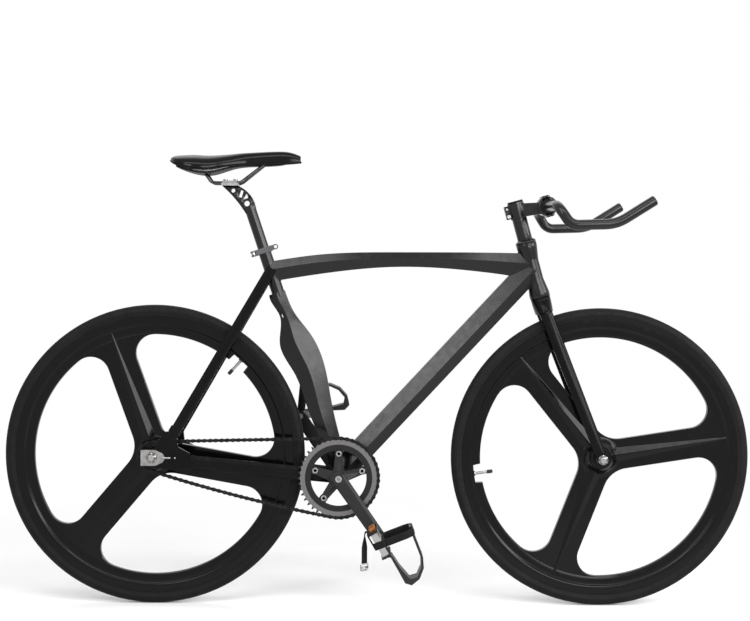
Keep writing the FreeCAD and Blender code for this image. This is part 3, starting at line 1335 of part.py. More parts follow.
def clamp_half(low, high, length):
    """Block of the saddle clamp between two heights, with rail grooves and bolt holes."""
    centre = clamp_centre()
    half = length / 2
    body = block((centre.x - half, centre.x + half), (-CLAMP_WIDTH / 2, CLAMP_WIDTH / 2), (low, high))
    start = low - BOOLEAN_MARGIN
    end = high + BOOLEAN_MARGIN
    holes = [rod_z(CLAMP_BOLT_RADIUS, start, end, centre.x + x, y) for x, y in clamp_bolt_spots()]
    return body.cut(rail_grooves() + holes)


def saddle_cradle():
    return clamp_half(clamp_centre().z, rail_height(), CLAMP_LENGTH)


def saddle_clamp():
    """Upper clamp plate and the two bolts that pull it down."""
    low = rail_height() + REST_GAP
    high = low + CLAMP_PLATE_HEIGHT
    centre = clamp_centre()
    solids = [clamp_half(low, high, CLAMP_PLATE_LENGTH)]
    for x, y in clamp_bolt_spots():
        shank = rod_z(CLAMP_BOLT_RADIUS, centre.z, high, centre.x + x, y)
        head = rod_z(CLAMP_BOLT_HEAD_RADIUS, high, high + CLAMP_BOLT_HEAD_HEIGHT, centre.x + x, y)
        solids.append(shank.fuse(head))
    return solids


# Saddle stations: distance ahead of the clamp, half width, top height and edge height above the rails
SADDLE_STATIONS = [
    (-132, 36, 56, 46),
    (-116, 60, 60, 37),
    (-80, 72, 60.5, 26),
    (-44, 65, 58.5, 24),
    (-4, 44, 60, 34),
    (40, 27, 64, 41),
    (120, 19, 67.5, 46),
    (157, 12, 58, 49),
]


def saddle_cover():
    """Padded top, crowned across, wide at the tail and narrow at the nose."""
    centre = clamp_centre()
    base = rail_height()

    def section(ahead, half, top, edge):
        x = centre.x + ahead
        high = base + top
        low = base + edge
        shoulder = low + SADDLE_SHOULDER_HEIGHT * (high - low)
        top_half = SADDLE_SHOULDER_WIDTH * half
        right = V(x, half, low)
        left = V(x, -half, low)
        right_top = V(x, top_half, shoulder)
        left_top = V(x, -top_half, shoulder)
        crown = Part.Arc(right_top, V(x, 0, high), left_top)
        edges = [
            Part.LineSegment(left, right).toShape(),
            Part.LineSegment(right, right_top).toShape(),
            crown.toShape(),
            Part.LineSegment(left_top, left).toShape(),
        ]
        return Part.Wire(edges)

    return loft([section(*station) for station in SADDLE_STATIONS])


def saddle_shell(cover):
    """Moulded base that sits against the underside of the padding."""
    centre = clamp_centre()
    base = rail_height()

    def section(ahead, half, top, edge):
        x = centre.x + ahead
        high = base + edge + SADDLE_SHELL_THICKNESS
        low = base + edge - SADDLE_SHELL_THICKNESS
        wide = half - SADDLE_SHELL_INSET
        foot = wide - SADDLE_SHELL_DRAFT
        return polygon([V(x, wide, high), V(x, -wide, high), V(x, -foot, low), V(x, foot, low)])

    return main_solid(loft([section(*station) for station in SADDLE_STATIONS[1:-1]]).cut(cover))


def saddle_rails(shell):
    """Two bent rails, cut to end against the underside of the saddle shell."""
    centre = clamp_centre()
    base = rail_height()
    points = [
        V(centre.x - RAIL_TAIL_REACH, -RAIL_SPREAD - RAIL_TAIL_FLARE, base + RAIL_TAIL_RISE),
        V(centre.x - RAIL_TAIL_BEND, -RAIL_SPREAD, base),
        V(centre.x + RAIL_NOSE_BEND, -RAIL_SPREAD, base),
        V(centre.x + RAIL_NOSE_REACH, -RAIL_NOSE_SPREAD, base + RAIL_NOSE_RISE),
    ]
    rail = bent_rod(points, RAIL_BENDS, RAIL_RADIUS)
    return both_sides(main_solid(rail.cut(shell)))


# Seat clamp

def collar_heights():
    return SEAT_TUBE_LENGTH - COLLAR_HEIGHT, SEAT_TUBE_LENGTH


def cam_spot():
    radius = SEAT_TUBE_RADIUS + COLLAR_WALL
    return -radius - CAM_RADIUS, -radius - BODY_GAP - LEVER_THICKNESS / 2


def seat_clamp_collar():
    """Split ring round the top of the seat tube, with two ears at the back."""
    low, high = collar_heights()
    radius = SEAT_TUBE_RADIUS + COLLAR_WALL
    cam_x, _ = cam_spot()
    ear = COLLAR_EAR_HALF_WIDTH
    bottom = low - BOOLEAN_MARGIN
    top = high + BOOLEAN_MARGIN
    ears = block((cam_x - CAM_RADIUS + COLLAR_EAR_TRIM, -SEAT_TUBE_RADIUS), (-ear, ear), (low, high))
    slit = block((3 * cam_x, 0), (-COLLAR_SLIT / 2, COLLAR_SLIT / 2), (bottom, top))
    bore = rod_z(SEAT_TUBE_RADIUS, bottom, top)
    hole = rod_y(SKEWER_RADIUS, -2 * ear, 2 * ear, cam_x, (low + high) / 2)
    body = rod_z(radius, low, high).fuse(ears).cut([bore, slit, hole])
    return placed(main_solid(body), SEAT_FRAME)


def seat_clamp_skewer():
    """Skewer through the ears, with a nut on one end and the cam pin on the other."""
    low, high = collar_heights()
    middle = (low + high) / 2
    cam_x, cam_y = cam_spot()
    ear = COLLAR_EAR_HALF_WIDTH
    rod = rod_y(SKEWER_RADIUS, cam_y, ear, cam_x, middle)
    nut = rod_y(SKEWER_NUT_RADIUS, ear, ear + SKEWER_NUT_LENGTH, cam_x, middle)
    eye = rod_z(CAM_EYE_RADIUS, middle - CAM_EYE_HEIGHT / 2, middle + CAM_EYE_HEIGHT / 2, cam_x, cam_y)
    pin = rod_z(CAM_PIN_RADIUS, low, high, cam_x, cam_y)
    return placed(rod.fuse([nut, eye, pin]), SEAT_FRAME)


def seat_clamp_lever():
    """Cam lever that lies along the collar and ends in a finger ring."""
    low, high = collar_heights()
    middle = (low + high) / 2
    cam_x, cam_y = cam_spot()
    half = LEVER_THICKNESS / 2
    ring_x = cam_x + LEVER_LENGTH - LEVER_RING_RADIUS
    bottom = low + LEVER_INSET
    top = high - LEVER_INSET
    arm = block((cam_x, ring_x), (cam_y - half, cam_y + half), (bottom, top))
    cheeks = rod_z(CAM_RADIUS, bottom, top, cam_x, cam_y)
    ring = rod_y(LEVER_RING_RADIUS, cam_y - half, cam_y + half, ring_x, middle)
    gap = CAM_EYE_HEIGHT / 2 + REST_GAP
    eye_room = rod_z(CAM_RADIUS + BODY_GAP, middle - gap, middle + gap, cam_x, cam_y)
    pin_hole = rod_z(CAM_PIN_RADIUS + RUNNING_FIT, low, high, cam_x, cam_y)
    ring_hole = rod_y(LEVER_RING_HOLE, cam_y - 2 * half, cam_y + 2 * half, ring_x, middle)
    return placed(arm.fuse([cheeks, ring]).cut([eye_room, pin_hole, ring_hole]), SEAT_FRAME)


# Bottom bracket and cranks

def spindle_half_length():
    return crank_inner_face() + CRANK_BOSS_LENGTH - CRANK_BOLT_HEAD_HEIGHT / 2


def crank_inner_face():
    """Distance of the cranks' inner faces from the middle of the bicycle."""
    return CHAIN_LINE + SPROCKET_THICKNESS / 2


def bottom_bracket_spindle():
    """Square-ended spindle with a bolt bore in each end."""
    end = spindle_half_length()
    shoulder = crank_inner_face() - BODY_GAP
    half = SPINDLE_SQUARE / 2
    square = block((-half, half), (shoulder, end), (-half, half))
    body = rod_y(SPINDLE_RADIUS, -shoulder, shoulder).fuse(both_sides(square))
    bore = rod_y(CRANK_BOLT_RADIUS, end - CRANK_BOLT_DEPTH, end + BOOLEAN_MARGIN)
    return placed(body.cut(both_sides(bore)), turn_about_y(CRANK_ANGLE)).translated(BRACKET)


def bottom_bracket_cartridge():
    """Sealed bearing cup at each end of the shell, with a flange outside."""
    end = SHELL_WIDTH / 2
    bore = SPINDLE_RADIUS + RUNNING_FIT
    profile = [
        (bore, end - CUP_DEPTH),
        (SHELL_BORE_RADIUS, end - CUP_DEPTH),
        (SHELL_BORE_RADIUS, end),
        (CUP_FLANGE_RADIUS, end),
        (CUP_FLANGE_RADIUS, end + CUP_FLANGE_WIDTH),
        (bore, end + CUP_FLANGE_WIDTH),
    ]
    return [cup.translated(BRACKET) for cup in both_sides(turned_y(profile))]


def crank_eye_middle():
    return crank_inner_face() + CRANK_BOSS_LENGTH / 2 + CRANK_FLARE


def crank_arm():
    """Crank along +X at the left side: boss, tapering arm and pedal eye."""
    inner = crank_inner_face()
    outer = inner + CRANK_BOSS_LENGTH
    eye = crank_eye_middle()
    half_width = CRANK_WIDTH / 2
    half = CRANK_THICKNESS / 2
    sections = []
    for x, y, wide in [(0, outer - half, half_width + CRANK_ROOT_SWELL), (CRANK_LENGTH, eye, half_width)]:
        chamfer = wide / 3
        corners = [(wide, -half), (wide, half / 3), (wide - chamfer, half)]
        corners += [(-a, b) for a, b in reversed(corners)]
        sections.append(polygon([V(x, y + b, a) for a, b in corners]))
    arm = loft(sections, ruled=True)
    boss = rod_y(CRANK_BOSS_RADIUS, inner, outer)
    end = rod_y(half_width, eye - half, eye + half, CRANK_LENGTH)
    square = SPINDLE_SQUARE / 2
    bolt_room = rod_y(CRANK_BOLT_HEAD_RADIUS, spindle_half_length(), outer + BOOLEAN_MARGIN)
    taper = block((-square, square), (inner - BOOLEAN_MARGIN, spindle_half_length()), (-square, square))
    thread = rod_y(PEDAL_THREAD_RADIUS, eye - 2 * half, eye + 2 * half, CRANK_LENGTH)
    return arm.fuse([boss, end]).cut([taper, bolt_room, thread])


def spider():
    """Five arms that carry the chainring, round the Y axis on the drive side."""
    inner = -CHAIN_LINE - SPROCKET_THICKNESS / 2
    outer = inner - SPIDER_THICKNESS
    root = SPIDER_ROOT_WIDTH / 2
    end = SPIDER_ARM_WIDTH / 2
    hub = CRANK_BOSS_RADIUS - SPIDER_ROOT_LAP
    reach = BOLT_CIRCLE_RADIUS
    arm = plate_y([(hub, -root), (reach, -end), (reach, end), (hub, root)], outer, inner)
    arm = arm.fuse(rod_y(end, outer, inner, reach))
    arm = arm.cut(rod_y(CHAINRING_BOLT_RADIUS, outer - BOOLEAN_MARGIN, inner + BOOLEAN_MARGIN, reach))
    turns = [CRANK_ANGLE + 360 * number / SPIDER_ARMS for number in range(SPIDER_ARMS)]
    return [placed(arm, turn_about_y(turn)) for turn in turns]


def crank_right():
    arm = placed(mirrored(crank_arm()), turn_about_y(CRANK_ANGLE))
    return arm.fuse(spider()).removeSplitter().translated(BRACKET)


def crank_left():
    return placed(crank_arm(), turn_about_y(CRANK_ANGLE + 180)).translated(BRACKET)


def crank_bolts():
    end = spindle_half_length()
    head = rod_y(CRANK_BOLT_HEAD_RADIUS, end, end + CRANK_BOLT_HEAD_HEIGHT)
    shank = rod_y(CRANK_BOLT_RADIUS, end - CRANK_BOLT_DEPTH, end)
    socket = rod_y(SOCKET_RADIUS, end + CRANK_BOLT_HEAD_HEIGHT / 2, end + 2 * CRANK_BOLT_HEAD_HEIGHT)
    return [bolt.translated(BRACKET) for bolt in both_sides(head.fuse(shank).cut(socket))]


# Pedals

def pedal_start():
    """Distance of the pedal's inner end from the middle of the bicycle."""
    return crank_eye_middle() + CRANK_THICKNESS / 2 + PEDAL_FLANGE_WIDTH + PEDAL_GAP


def pedal_axle():
    """Pedal axle at the left side, about the Y axis."""
    eye = crank_eye_middle()
    half = CRANK_THICKNESS / 2
    flange = eye + half + PEDAL_FLANGE_WIDTH
    tip = pedal_start() + PEDAL_WIDTH - PEDAL_RECESS - PEDAL_WALL
    profile = [
        (0, eye - half),
        (PEDAL_THREAD_RADIUS, eye - half),
        (PEDAL_THREAD_RADIUS, eye + half),
        (PEDAL_FLANGE_RADIUS, eye + half),
        (PEDAL_FLANGE_RADIUS, flange),
        (PEDAL_AXLE_RADIUS, flange),
        (PEDAL_AXLE_RADIUS, tip),
        (0, tip),
    ]
    return turned_y(profile)


def pedal_spot(side):
    """Place of a pedal on its crank: -1 for the right pedal, 1 for the left."""
    angle = math.radians(CRANK_ANGLE + (180 if side > 0 else 0))
    axis = BRACKET + V(CRANK_LENGTH * math.cos(angle), 0, CRANK_LENGTH * math.sin(angle))
    pitch = PEDAL_PITCH_LEFT if side > 0 else PEDAL_PITCH_RIGHT
    return FreeCAD.Placement(axis, turn_about_y(pitch).Rotation)


def pedal():
    """Cage pedal at the left side: sleeve on the axle, end plates and two toothed cage plates."""
    start = pedal_start()
    end = start + PEDAL_WIDTH
    half_length = PEDAL_LENGTH / 2
    half_height = PEDAL_HEIGHT / 2
    first = start + PEDAL_RECESS
    last = end - PEDAL_RECESS
    up = PEDAL_PLATE_HEIGHT / 2
    pieces = []
    for y in (first, last - PEDAL_WALL):
        pieces.append(block((-half_length, half_length), (y, y + PEDAL_WALL), (-up, up)))
    for x in (-half_length, half_length - PEDAL_WALL):
        pieces.append(block((x, x + PEDAL_WALL), (start, end), (-half_height, half_height)))
    body = rod_y(PEDAL_SLEEVE_RADIUS, first, last).fuse(pieces)
    pitch = PEDAL_WIDTH / PEDAL_TEETH
    notch = block(
        (-half_length - BOOLEAN_MARGIN, half_length + BOOLEAN_MARGIN),
        (pitch / 4, 3 * pitch / 4),
        (half_height - PEDAL_TOOTH_DEPTH, half_height + BOOLEAN_MARGIN),
    )
    notches = [notch.translated(V(0, start + pitch * number, 0)) for number in range(PEDAL_TEETH)]
    bore = rod_y(PEDAL_AXLE_RADIUS + RUNNING_FIT, start, last - PEDAL_WALL + BODY_GAP)
    return body.cut(notches + [bore])


def band(points, thickness, swell=None):
    """Closed outline of an even strip along an open (x, z) line, with an added swell on its left."""
    left, right = [], []
    swell = swell or [0.0] * len(points)
    count = len(points)
    for number, (x, z) in enumerate(points):
        before = points[max(number - 1, 0)]
        after = points[min(number + 1, count - 1)]
        dx, dz = after[0] - before[0], after[1] - before[1]
        length = math.hypot(dx, dz)
        nx, nz = -dz / length, dx / length
        inner = thickness / 2 + swell[number]
        left.append((x + nx * inner, z + nz * inner))
        right.append((x - nx * thickness / 2, z - nz * thickness / 2))
    return left + list(reversed(right))


def leaned(along, up):
    """Point of the strap's leaning frame as pedal coordinates."""
    lean = math.radians(STRAP_LEAN)
    return along * math.cos(lean) + up * math.sin(lean), up * math.cos(lean) - along * math.sin(lean)


def clip_line():
    """Middle line of the toe clip in side view, from the front plate round the toe to the strap."""
    front = PEDAL_LENGTH / 2 + CLIP_THICKNESS / 2
    length = CLIP_LENGTH
    height = CLIP_HEIGHT
    return [
        (front, -0.1 * height),
        (front, 0.0),
        (front + 0.04 * length, 0.1 * height),
        (0.6 * length, 0.1 * height),
        (0.9 * length, 0.09 * height),
        (0.98 * length, 0.2 * height),
        (0.95 * length, 0.46 * height),
        (0.82 * length, 0.7 * height),
        (0.64 * length, 0.83 * height),
        leaned(0.26 * length, height - CLIP_THICKNESS / 2),
        leaned(0.1 * length, height - CLIP_THICKNESS / 2),
        leaned(-0.09 * length, height - CLIP_THICKNESS / 2),
    ]


def toe_clip():
    """Toe clip at the left side: a wide strip bent over the toe."""
    middle = pedal_start() + PEDAL_WIDTH / 2
    shares = [0, 0, 0, 0.2, 1, 1, 0.2, 0.1, 0, 0, 0, 0]
    outline = band(clip_line(), CLIP_THICKNESS, [CLIP_TOE_SWELL * share for share in shares])
    return plate_y(outline, middle - CLIP_WIDTH / 2, middle + CLIP_WIDTH / 2)


def strap_loop():
    """Strap at the left side: across the sleeve, up both ends and over the toe clip, with one end below."""
    first = pedal_start() + PEDAL_RECESS
    last = pedal_start() + PEDAL_WIDTH - PEDAL_RECESS
    half = STRAP_WIDTH / 2
    corner = (PEDAL_WIDTH - CLIP_WIDTH) / 4

    def prism(skin, half_width):
        low = PEDAL_SLEEVE_RADIUS + STRAP_THICKNESS - skin
        high = CLIP_HEIGHT + skin
        a = first - skin
        b = last + skin
        c = corner + 0.4 * skin
        outline = [(a, low), (b, low), (b, high - c), (b - c, high), (a + c, high), (a, high - c)]
        face = Part.Face(polygon([V(-half_width, y, z) for y, z in outline]))
        return outward(face.extrude(V(2 * half_width, 0, 0)))

    loop = prism(STRAP_THICKNESS, half).cut(prism(0.0, STRAP_WIDTH))
    rise = PEDAL_SLEEVE_RADIUS + BOOLEAN_MARGIN
    loose_end = block((-half, half), (last, last + STRAP_THICKNESS), (strap_under(), rise))
    return placed(loop.fuse(loose_end), turn_about_y(-STRAP_LEAN))


def strap_under():
    """Height of the strap where it passes under the pedal."""
    return -PEDAL_HEIGHT / 2 - STRAP_THICKNESS / 2 - BODY_GAP


def strap_tail(pitch):
    """Free end of the strap at the left side: under the rear plate, then straight down to its buckle."""
    half = STRAP_WIDTH / 2 - STRAP_TAIL_INSET
    middle = pedal_start() + PEDAL_WIDTH - PEDAL_RECESS + STRAP_THICKNESS - half
    under = strap_under()
    behind = -PEDAL_LENGTH / 2 - REFLECTOR_THICKNESS
    spots = [V(STRAP_START, 0, under), V(behind + STRAP_KINK, 0, under), V(behind, 0, under + STRAP_KINK)]
    spots = [turn_about_y(pitch).multVec(spot) for spot in spots]
    line = [(spot.x, spot.z) for spot in spots]
    x, z = line[-1]
    line += [(x + back, z + up) for back, up in STRAP_FALL]
    top = V(x + STRAP_TAIL_TOP[0], middle, z + STRAP_TAIL_TOP[1])
    lead = plate_y(band(line, STRAP_THICKNESS), middle - half, middle + half)
    twist = FreeCAD.Rotation(V(0, 0, 1), STRAP_TWIST)
    thick = STRAP_THICKNESS / 2
    tail = block((-thick, thick), (-half, half), (-STRAP_TAIL_LENGTH, 0))
    tail = placed(tail, FreeCAD.Placement(top, twist))
    wide = BUCKLE_WIDTH / 2
    deep = BUCKLE_THICKNESS / 2
    buckle = block((-deep, deep), (-wide, wide), (-BUCKLE_LENGTH, 0))
    end = top - V(0, 0, STRAP_TAIL_LENGTH)
    return lead.fuse(tail), placed(buckle, FreeCAD.Placement(end, twist))


def pedal_reflector():
    """Reflector on the rear cage plate at the left side."""
    middle = pedal_start() + REFLECTOR_PLACE
    back = -PEDAL_LENGTH / 2
    half = REFLECTOR_LENGTH / 2
    up = REFLECTOR_HEIGHT / 2
    body = block((back - REFLECTOR_THICKNESS, back), (middle - half, middle + half), (-up, up))
    edges = [edge for edge in body.Edges if abs(edge.BoundBox.XMax - back + REFLECTOR_THICKNESS) < REST_GAP]
    return body.makeChamfer(REFLECTOR_CHAMFER, edges)


def on_pedal(shape, side):
    """Left-hand pedal piece in its place on one of the cranks."""
    return placed(mirrored(shape) if side < 0 else shape, pedal_spot(side))


def toe_strap(side):
    pitch = PEDAL_PITCH_LEFT if side > 0 else PEDAL_PITCH_RIGHT
    tail, buckle = strap_tail(pitch)
    tail = placed(tail, turn_about_y(-pitch))
    buckle = placed(buckle, turn_about_y(-pitch))
    return [on_pedal(strap_loop().fuse(tail), side), on_pedal(buckle, side)]


# Build every piece

os.makedirs("parts", exist_ok=True)

head_outside = placed(head_tube_outside(), STEER_FRAME)
seat_outside, seat_inside, seat_bore = seat_tube_solids()
down_outside, down_inside = down_tube_solids()
top_outside, top_inside = top_tube_solids()
shell_solid = shell_outside()
track = track_end()
chain_start, chain_end, seat_start, seat_end = stay_ends()
chainstay_outside, chainstay_inside = stay(chain_start, chain_end, CHAINSTAY_DEPTH, STAY_WIDTH, STAY_WALL)
seatstay_outside, seatstay_inside = stay(seat_start, seat_end, SEATSTAY_DEPTH, STAY_WIDTH, STAY_WALL)

export("head_tube", head_tube())
export("headset_bearings", *headset_bearings())
export("seat_tube", coped(seat_outside, shell_solid, seat_inside, seat_bore))
export("down_tube", coped(down_outside, head_outside, shell_solid, seat_outside, down_inside))
export("top_tube", coped(top_outside, head_outside, down_outside, seat_outside, top_inside))
export("bottom_bracket_shell", bottom_bracket_shell())
export("bottom_bracket_cartridge", *bottom_bracket_cartridge())
chainstay = coped(chainstay_outside, shell_solid, seat_outside, track, chainstay_inside)
export("chainstays", *both_sides(chainstay))
seatstay = coped(seatstay_outside, seat_outside, top_outside, track, seatstay_inside)
export("seatstays", *both_sides(seatstay))
export("track_ends", *both_sides(track))
export("chain_tensioners", *chain_tensioners())
export("seat_clamp_collar", seat_clamp_collar())
export("seat_clamp_skewer", seat_clamp_skewer())
export("seat_clamp_lever", seat_clamp_lever())
export("chain", *chain())

rear_clamped = TRACK_END_THICKNESS + TENSIONER_THICKNESS
export("rear_axle", axle(REAR_AXLE_RADIUS, REAR_HUB_SPACING, rear_clamped).translated(REAR_AXLE))
rear_nuts = axle_nuts(REAR_AXLE_RADIUS, REAR_HUB_SPACING / 2 + rear_clamped)
export("rear_axle_nuts", *[nut.translated(REAR_AXLE) for nut in rear_nuts])
rear_shoulder = CHAIN_LINE - SPROCKET_THICKNESS / 2
rear = wheel(REAR_SPOKE_ANGLE, REAR_VALVE_ANGLE, REAR_HUB_SPACING, rear_shoulder, REAR_AXLE_RADIUS)
export("rear_wheel", rear.translated(REAR_AXLE))
export("rear_tyre", tyre().translated(REAR_AXLE))
export("rear_inner_tube", inner_tube(REAR_VALVE_ANGLE).translated(REAR_AXLE))
rear_bearings = hub_bearings(REAR_HUB_SPACING, REAR_AXLE_RADIUS)
export("rear_hub_bearings", *[bearing.translated(REAR_AXLE) for bearing in rear_bearings])
export("rear_cog", rear_cog())
export("cog_lockring", cog_lockring())

front_axle_shape = axle(FRONT_AXLE_RADIUS, FRONT_HUB_SPACING, FORK_TIP_THICKNESS)
export("front_axle", front_axle_shape.translated(FRONT_AXLE))
front_nuts = axle_nuts(FRONT_AXLE_RADIUS, FRONT_HUB_SPACING / 2 + FORK_TIP_THICKNESS)
export("front_axle_nuts", *[nut.translated(FRONT_AXLE) for nut in front_nuts])
front_shoulder = FRONT_HUB_SPACING / 2 - HUB_END_GAP - HUB_BEARING_WIDTH
front = wheel(FRONT_SPOKE_ANGLE, FRONT_VALVE_ANGLE, FRONT_HUB_SPACING, front_shoulder, FRONT_AXLE_RADIUS)
export("front_wheel", front.translated(FRONT_AXLE))
export("front_tyre", tyre().translated(FRONT_AXLE))
export("front_inner_tube", inner_tube(FRONT_VALVE_ANGLE).translated(FRONT_AXLE))
front_bearings = hub_bearings(FRONT_HUB_SPACING, FRONT_AXLE_RADIUS)
export("front_hub_bearings", *[bearing.translated(FRONT_AXLE) for bearing in front_bearings])

export("fork_crown", fork_crown())
export("fork_blades", *both_sides(fork_blade()))
export("headset_cover", headset_cover())
export("headset_spacers", *headset_spacers())
export("stem", stem())
export("stem_faceplate", stem_faceplate())
export("stem_bolts", *stem_bolts())
export("stem_cap", stem_cap())
export("handlebar", handlebar())
export("bar_end_plugs", *bar_end_plugs())

cover = saddle_cover()
shell = saddle_shell(cover)
export("seatpost", seatpost())
export("saddle_cradle", saddle_cradle())
export("saddle_clamp", *saddle_clamp())
export("saddle_rails", *saddle_rails(shell))
export("saddle_shell", shell)
export("saddle_cover", cover)

export("bottom_bracket_spindle", bottom_bracket_spindle())
export("crank_right", crank_right())
export("crank_left", crank_left())
export("chainring", chainring())
export("chainring_bolts", *chainring_bolts())
export("crank_bolts", *crank_bolts())
export("pedal_axles", *[on_pedal(pedal_axle(), side) for side in (-1, 1)])
for side, name in ((-1, "right"), (1, "left")):
    export("pedal_" + name, on_pedal(pedal(), side))
    export("toe_clip_" + name, on_pedal(toe_clip(), side))
    export("toe_strap_" + name, *toe_strap(side))
    export("pedal_reflector_" + name, on_pedal(pedal_reflector(), side))

print("axle to bottom bracket %.2f, wheelbase %.1f" % (CENTRES, FRONT_AXLE.x - REAR_AXLE.x))
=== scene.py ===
import json
import math

import bmesh
import bpy
from mathutils import Matrix, Vector
from mathutils.bvhtree import BVHTree

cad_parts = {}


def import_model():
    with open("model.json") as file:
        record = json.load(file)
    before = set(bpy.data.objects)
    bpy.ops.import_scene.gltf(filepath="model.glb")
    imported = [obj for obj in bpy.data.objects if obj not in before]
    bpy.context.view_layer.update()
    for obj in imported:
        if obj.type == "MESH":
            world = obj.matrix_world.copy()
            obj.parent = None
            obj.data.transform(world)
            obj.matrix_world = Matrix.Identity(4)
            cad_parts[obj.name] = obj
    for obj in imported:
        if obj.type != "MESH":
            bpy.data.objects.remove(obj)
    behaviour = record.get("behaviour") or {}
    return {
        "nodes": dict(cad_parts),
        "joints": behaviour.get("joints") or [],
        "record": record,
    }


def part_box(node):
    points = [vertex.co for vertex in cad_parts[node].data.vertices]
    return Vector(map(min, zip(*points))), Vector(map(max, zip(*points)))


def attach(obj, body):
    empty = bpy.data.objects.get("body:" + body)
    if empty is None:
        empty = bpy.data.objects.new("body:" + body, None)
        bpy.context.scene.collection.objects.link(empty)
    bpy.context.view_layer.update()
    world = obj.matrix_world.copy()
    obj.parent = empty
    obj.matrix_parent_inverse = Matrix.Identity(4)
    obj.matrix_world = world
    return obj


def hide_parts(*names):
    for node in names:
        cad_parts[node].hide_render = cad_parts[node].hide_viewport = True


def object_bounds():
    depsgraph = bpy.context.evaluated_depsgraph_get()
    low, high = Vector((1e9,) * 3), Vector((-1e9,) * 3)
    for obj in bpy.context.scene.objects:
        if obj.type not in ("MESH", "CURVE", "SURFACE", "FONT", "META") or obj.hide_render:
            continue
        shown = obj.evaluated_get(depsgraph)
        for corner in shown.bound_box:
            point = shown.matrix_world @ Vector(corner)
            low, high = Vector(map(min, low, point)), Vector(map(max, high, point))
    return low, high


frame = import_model()
cad_low, cad_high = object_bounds()
nodes = frame["nodes"]
joints = {joint["name"]: joint for joint in frame["joints"]}
bodies = frame["record"]["behaviour"]["bodies"]
body_of = {node: body for body, members in bodies.items() for node in members}
slot_of = {row["node"]: row["material_slot"] for row in frame["record"]["subparts"]}

# Places taken from the joints, in metres
AXLES = {name: Vector(joints[name + "_wheel_spin"]["pos_m"]) for name in ("front", "rear")}
BRACKET = Vector(joints["crank_spin"]["pos_m"])
PEDAL_AXIS = {name: Vector(joints["pedal_%s_spin" % name]["pos_m"]) for name in ("right", "left")}
# Turn of each pedal at rest and the side it is on
PEDAL_PITCH = {"right": math.radians(-59.5), "left": math.radians(4.0)}
PEDAL_SIDE = {"right": -1, "left": 1}
SIDE = Vector((0, 1, 0))
MM = 0.001

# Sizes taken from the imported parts, in metres
TYRE_RADIUS = AXLES["front"].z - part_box("front_tyre")[0].z
RIM_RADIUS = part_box("front_wheel")[1].z - AXLES["front"].z


def circle(count):
    """Evenly spaced angles of a full turn."""
    return [2 * math.pi * step / count for step in range(count)]


def radial(turn):
    """Direction in the side plane at an angle from forwards towards up."""
    return Vector((math.cos(turn), 0, math.sin(turn)))


# Materials

# Painted shade of a spot by how open it is, from a deep corner to open air
PAINTED_GAP_SHADE = [(0.3, (0.06, 0.06, 0.06)), (0.9, (1.0, 1.0, 1.0))]
# How far from a corner or joint bare metal gets painted shade
METAL_PAINTED_SHADE_REACH = 5 * MM
NOISE_RANGE = (0.3, 0.7)
BLACK_TINT = (1.0, 0.97, 1.04)
METAL_TINT = (1.0, 0.98, 0.97)
PLASTIC_TINT = (1.0, 0.98, 1.02)
# Numbers of a Mix node's colour sockets
MIX_FIRST = 6
MIX_SECOND = 7
MIX_RESULT = 2
# The chainring's pale band, as shares of a run of distances from its axis
RING_RUN = (60 * MM, 100 * MM)
RING_BAND = (0.0, 0.37, 0.385, 0.655, 0.67, 1.0)
# Where a pedal's silver turns black, as shares of a distance from its axis
PEDAL_RUN = 40 * MM
PEDAL_BAND = (0.0, 0.655, 0.67, 1.0)


def add_node(tree, kind, inputs, **settings):
    """Outputs of a new node, with each input linked to an output or set to a value."""
    node = tree.nodes.new("ShaderNode" + kind)
    for name, setting in settings.items():
        setattr(node, name, setting)
    for name, value in inputs.items():
        if isinstance(value, bpy.types.NodeSocket):
            tree.links.new(value, node.inputs[name])
        else:
            node.inputs[name].default_value = value
    return node.outputs


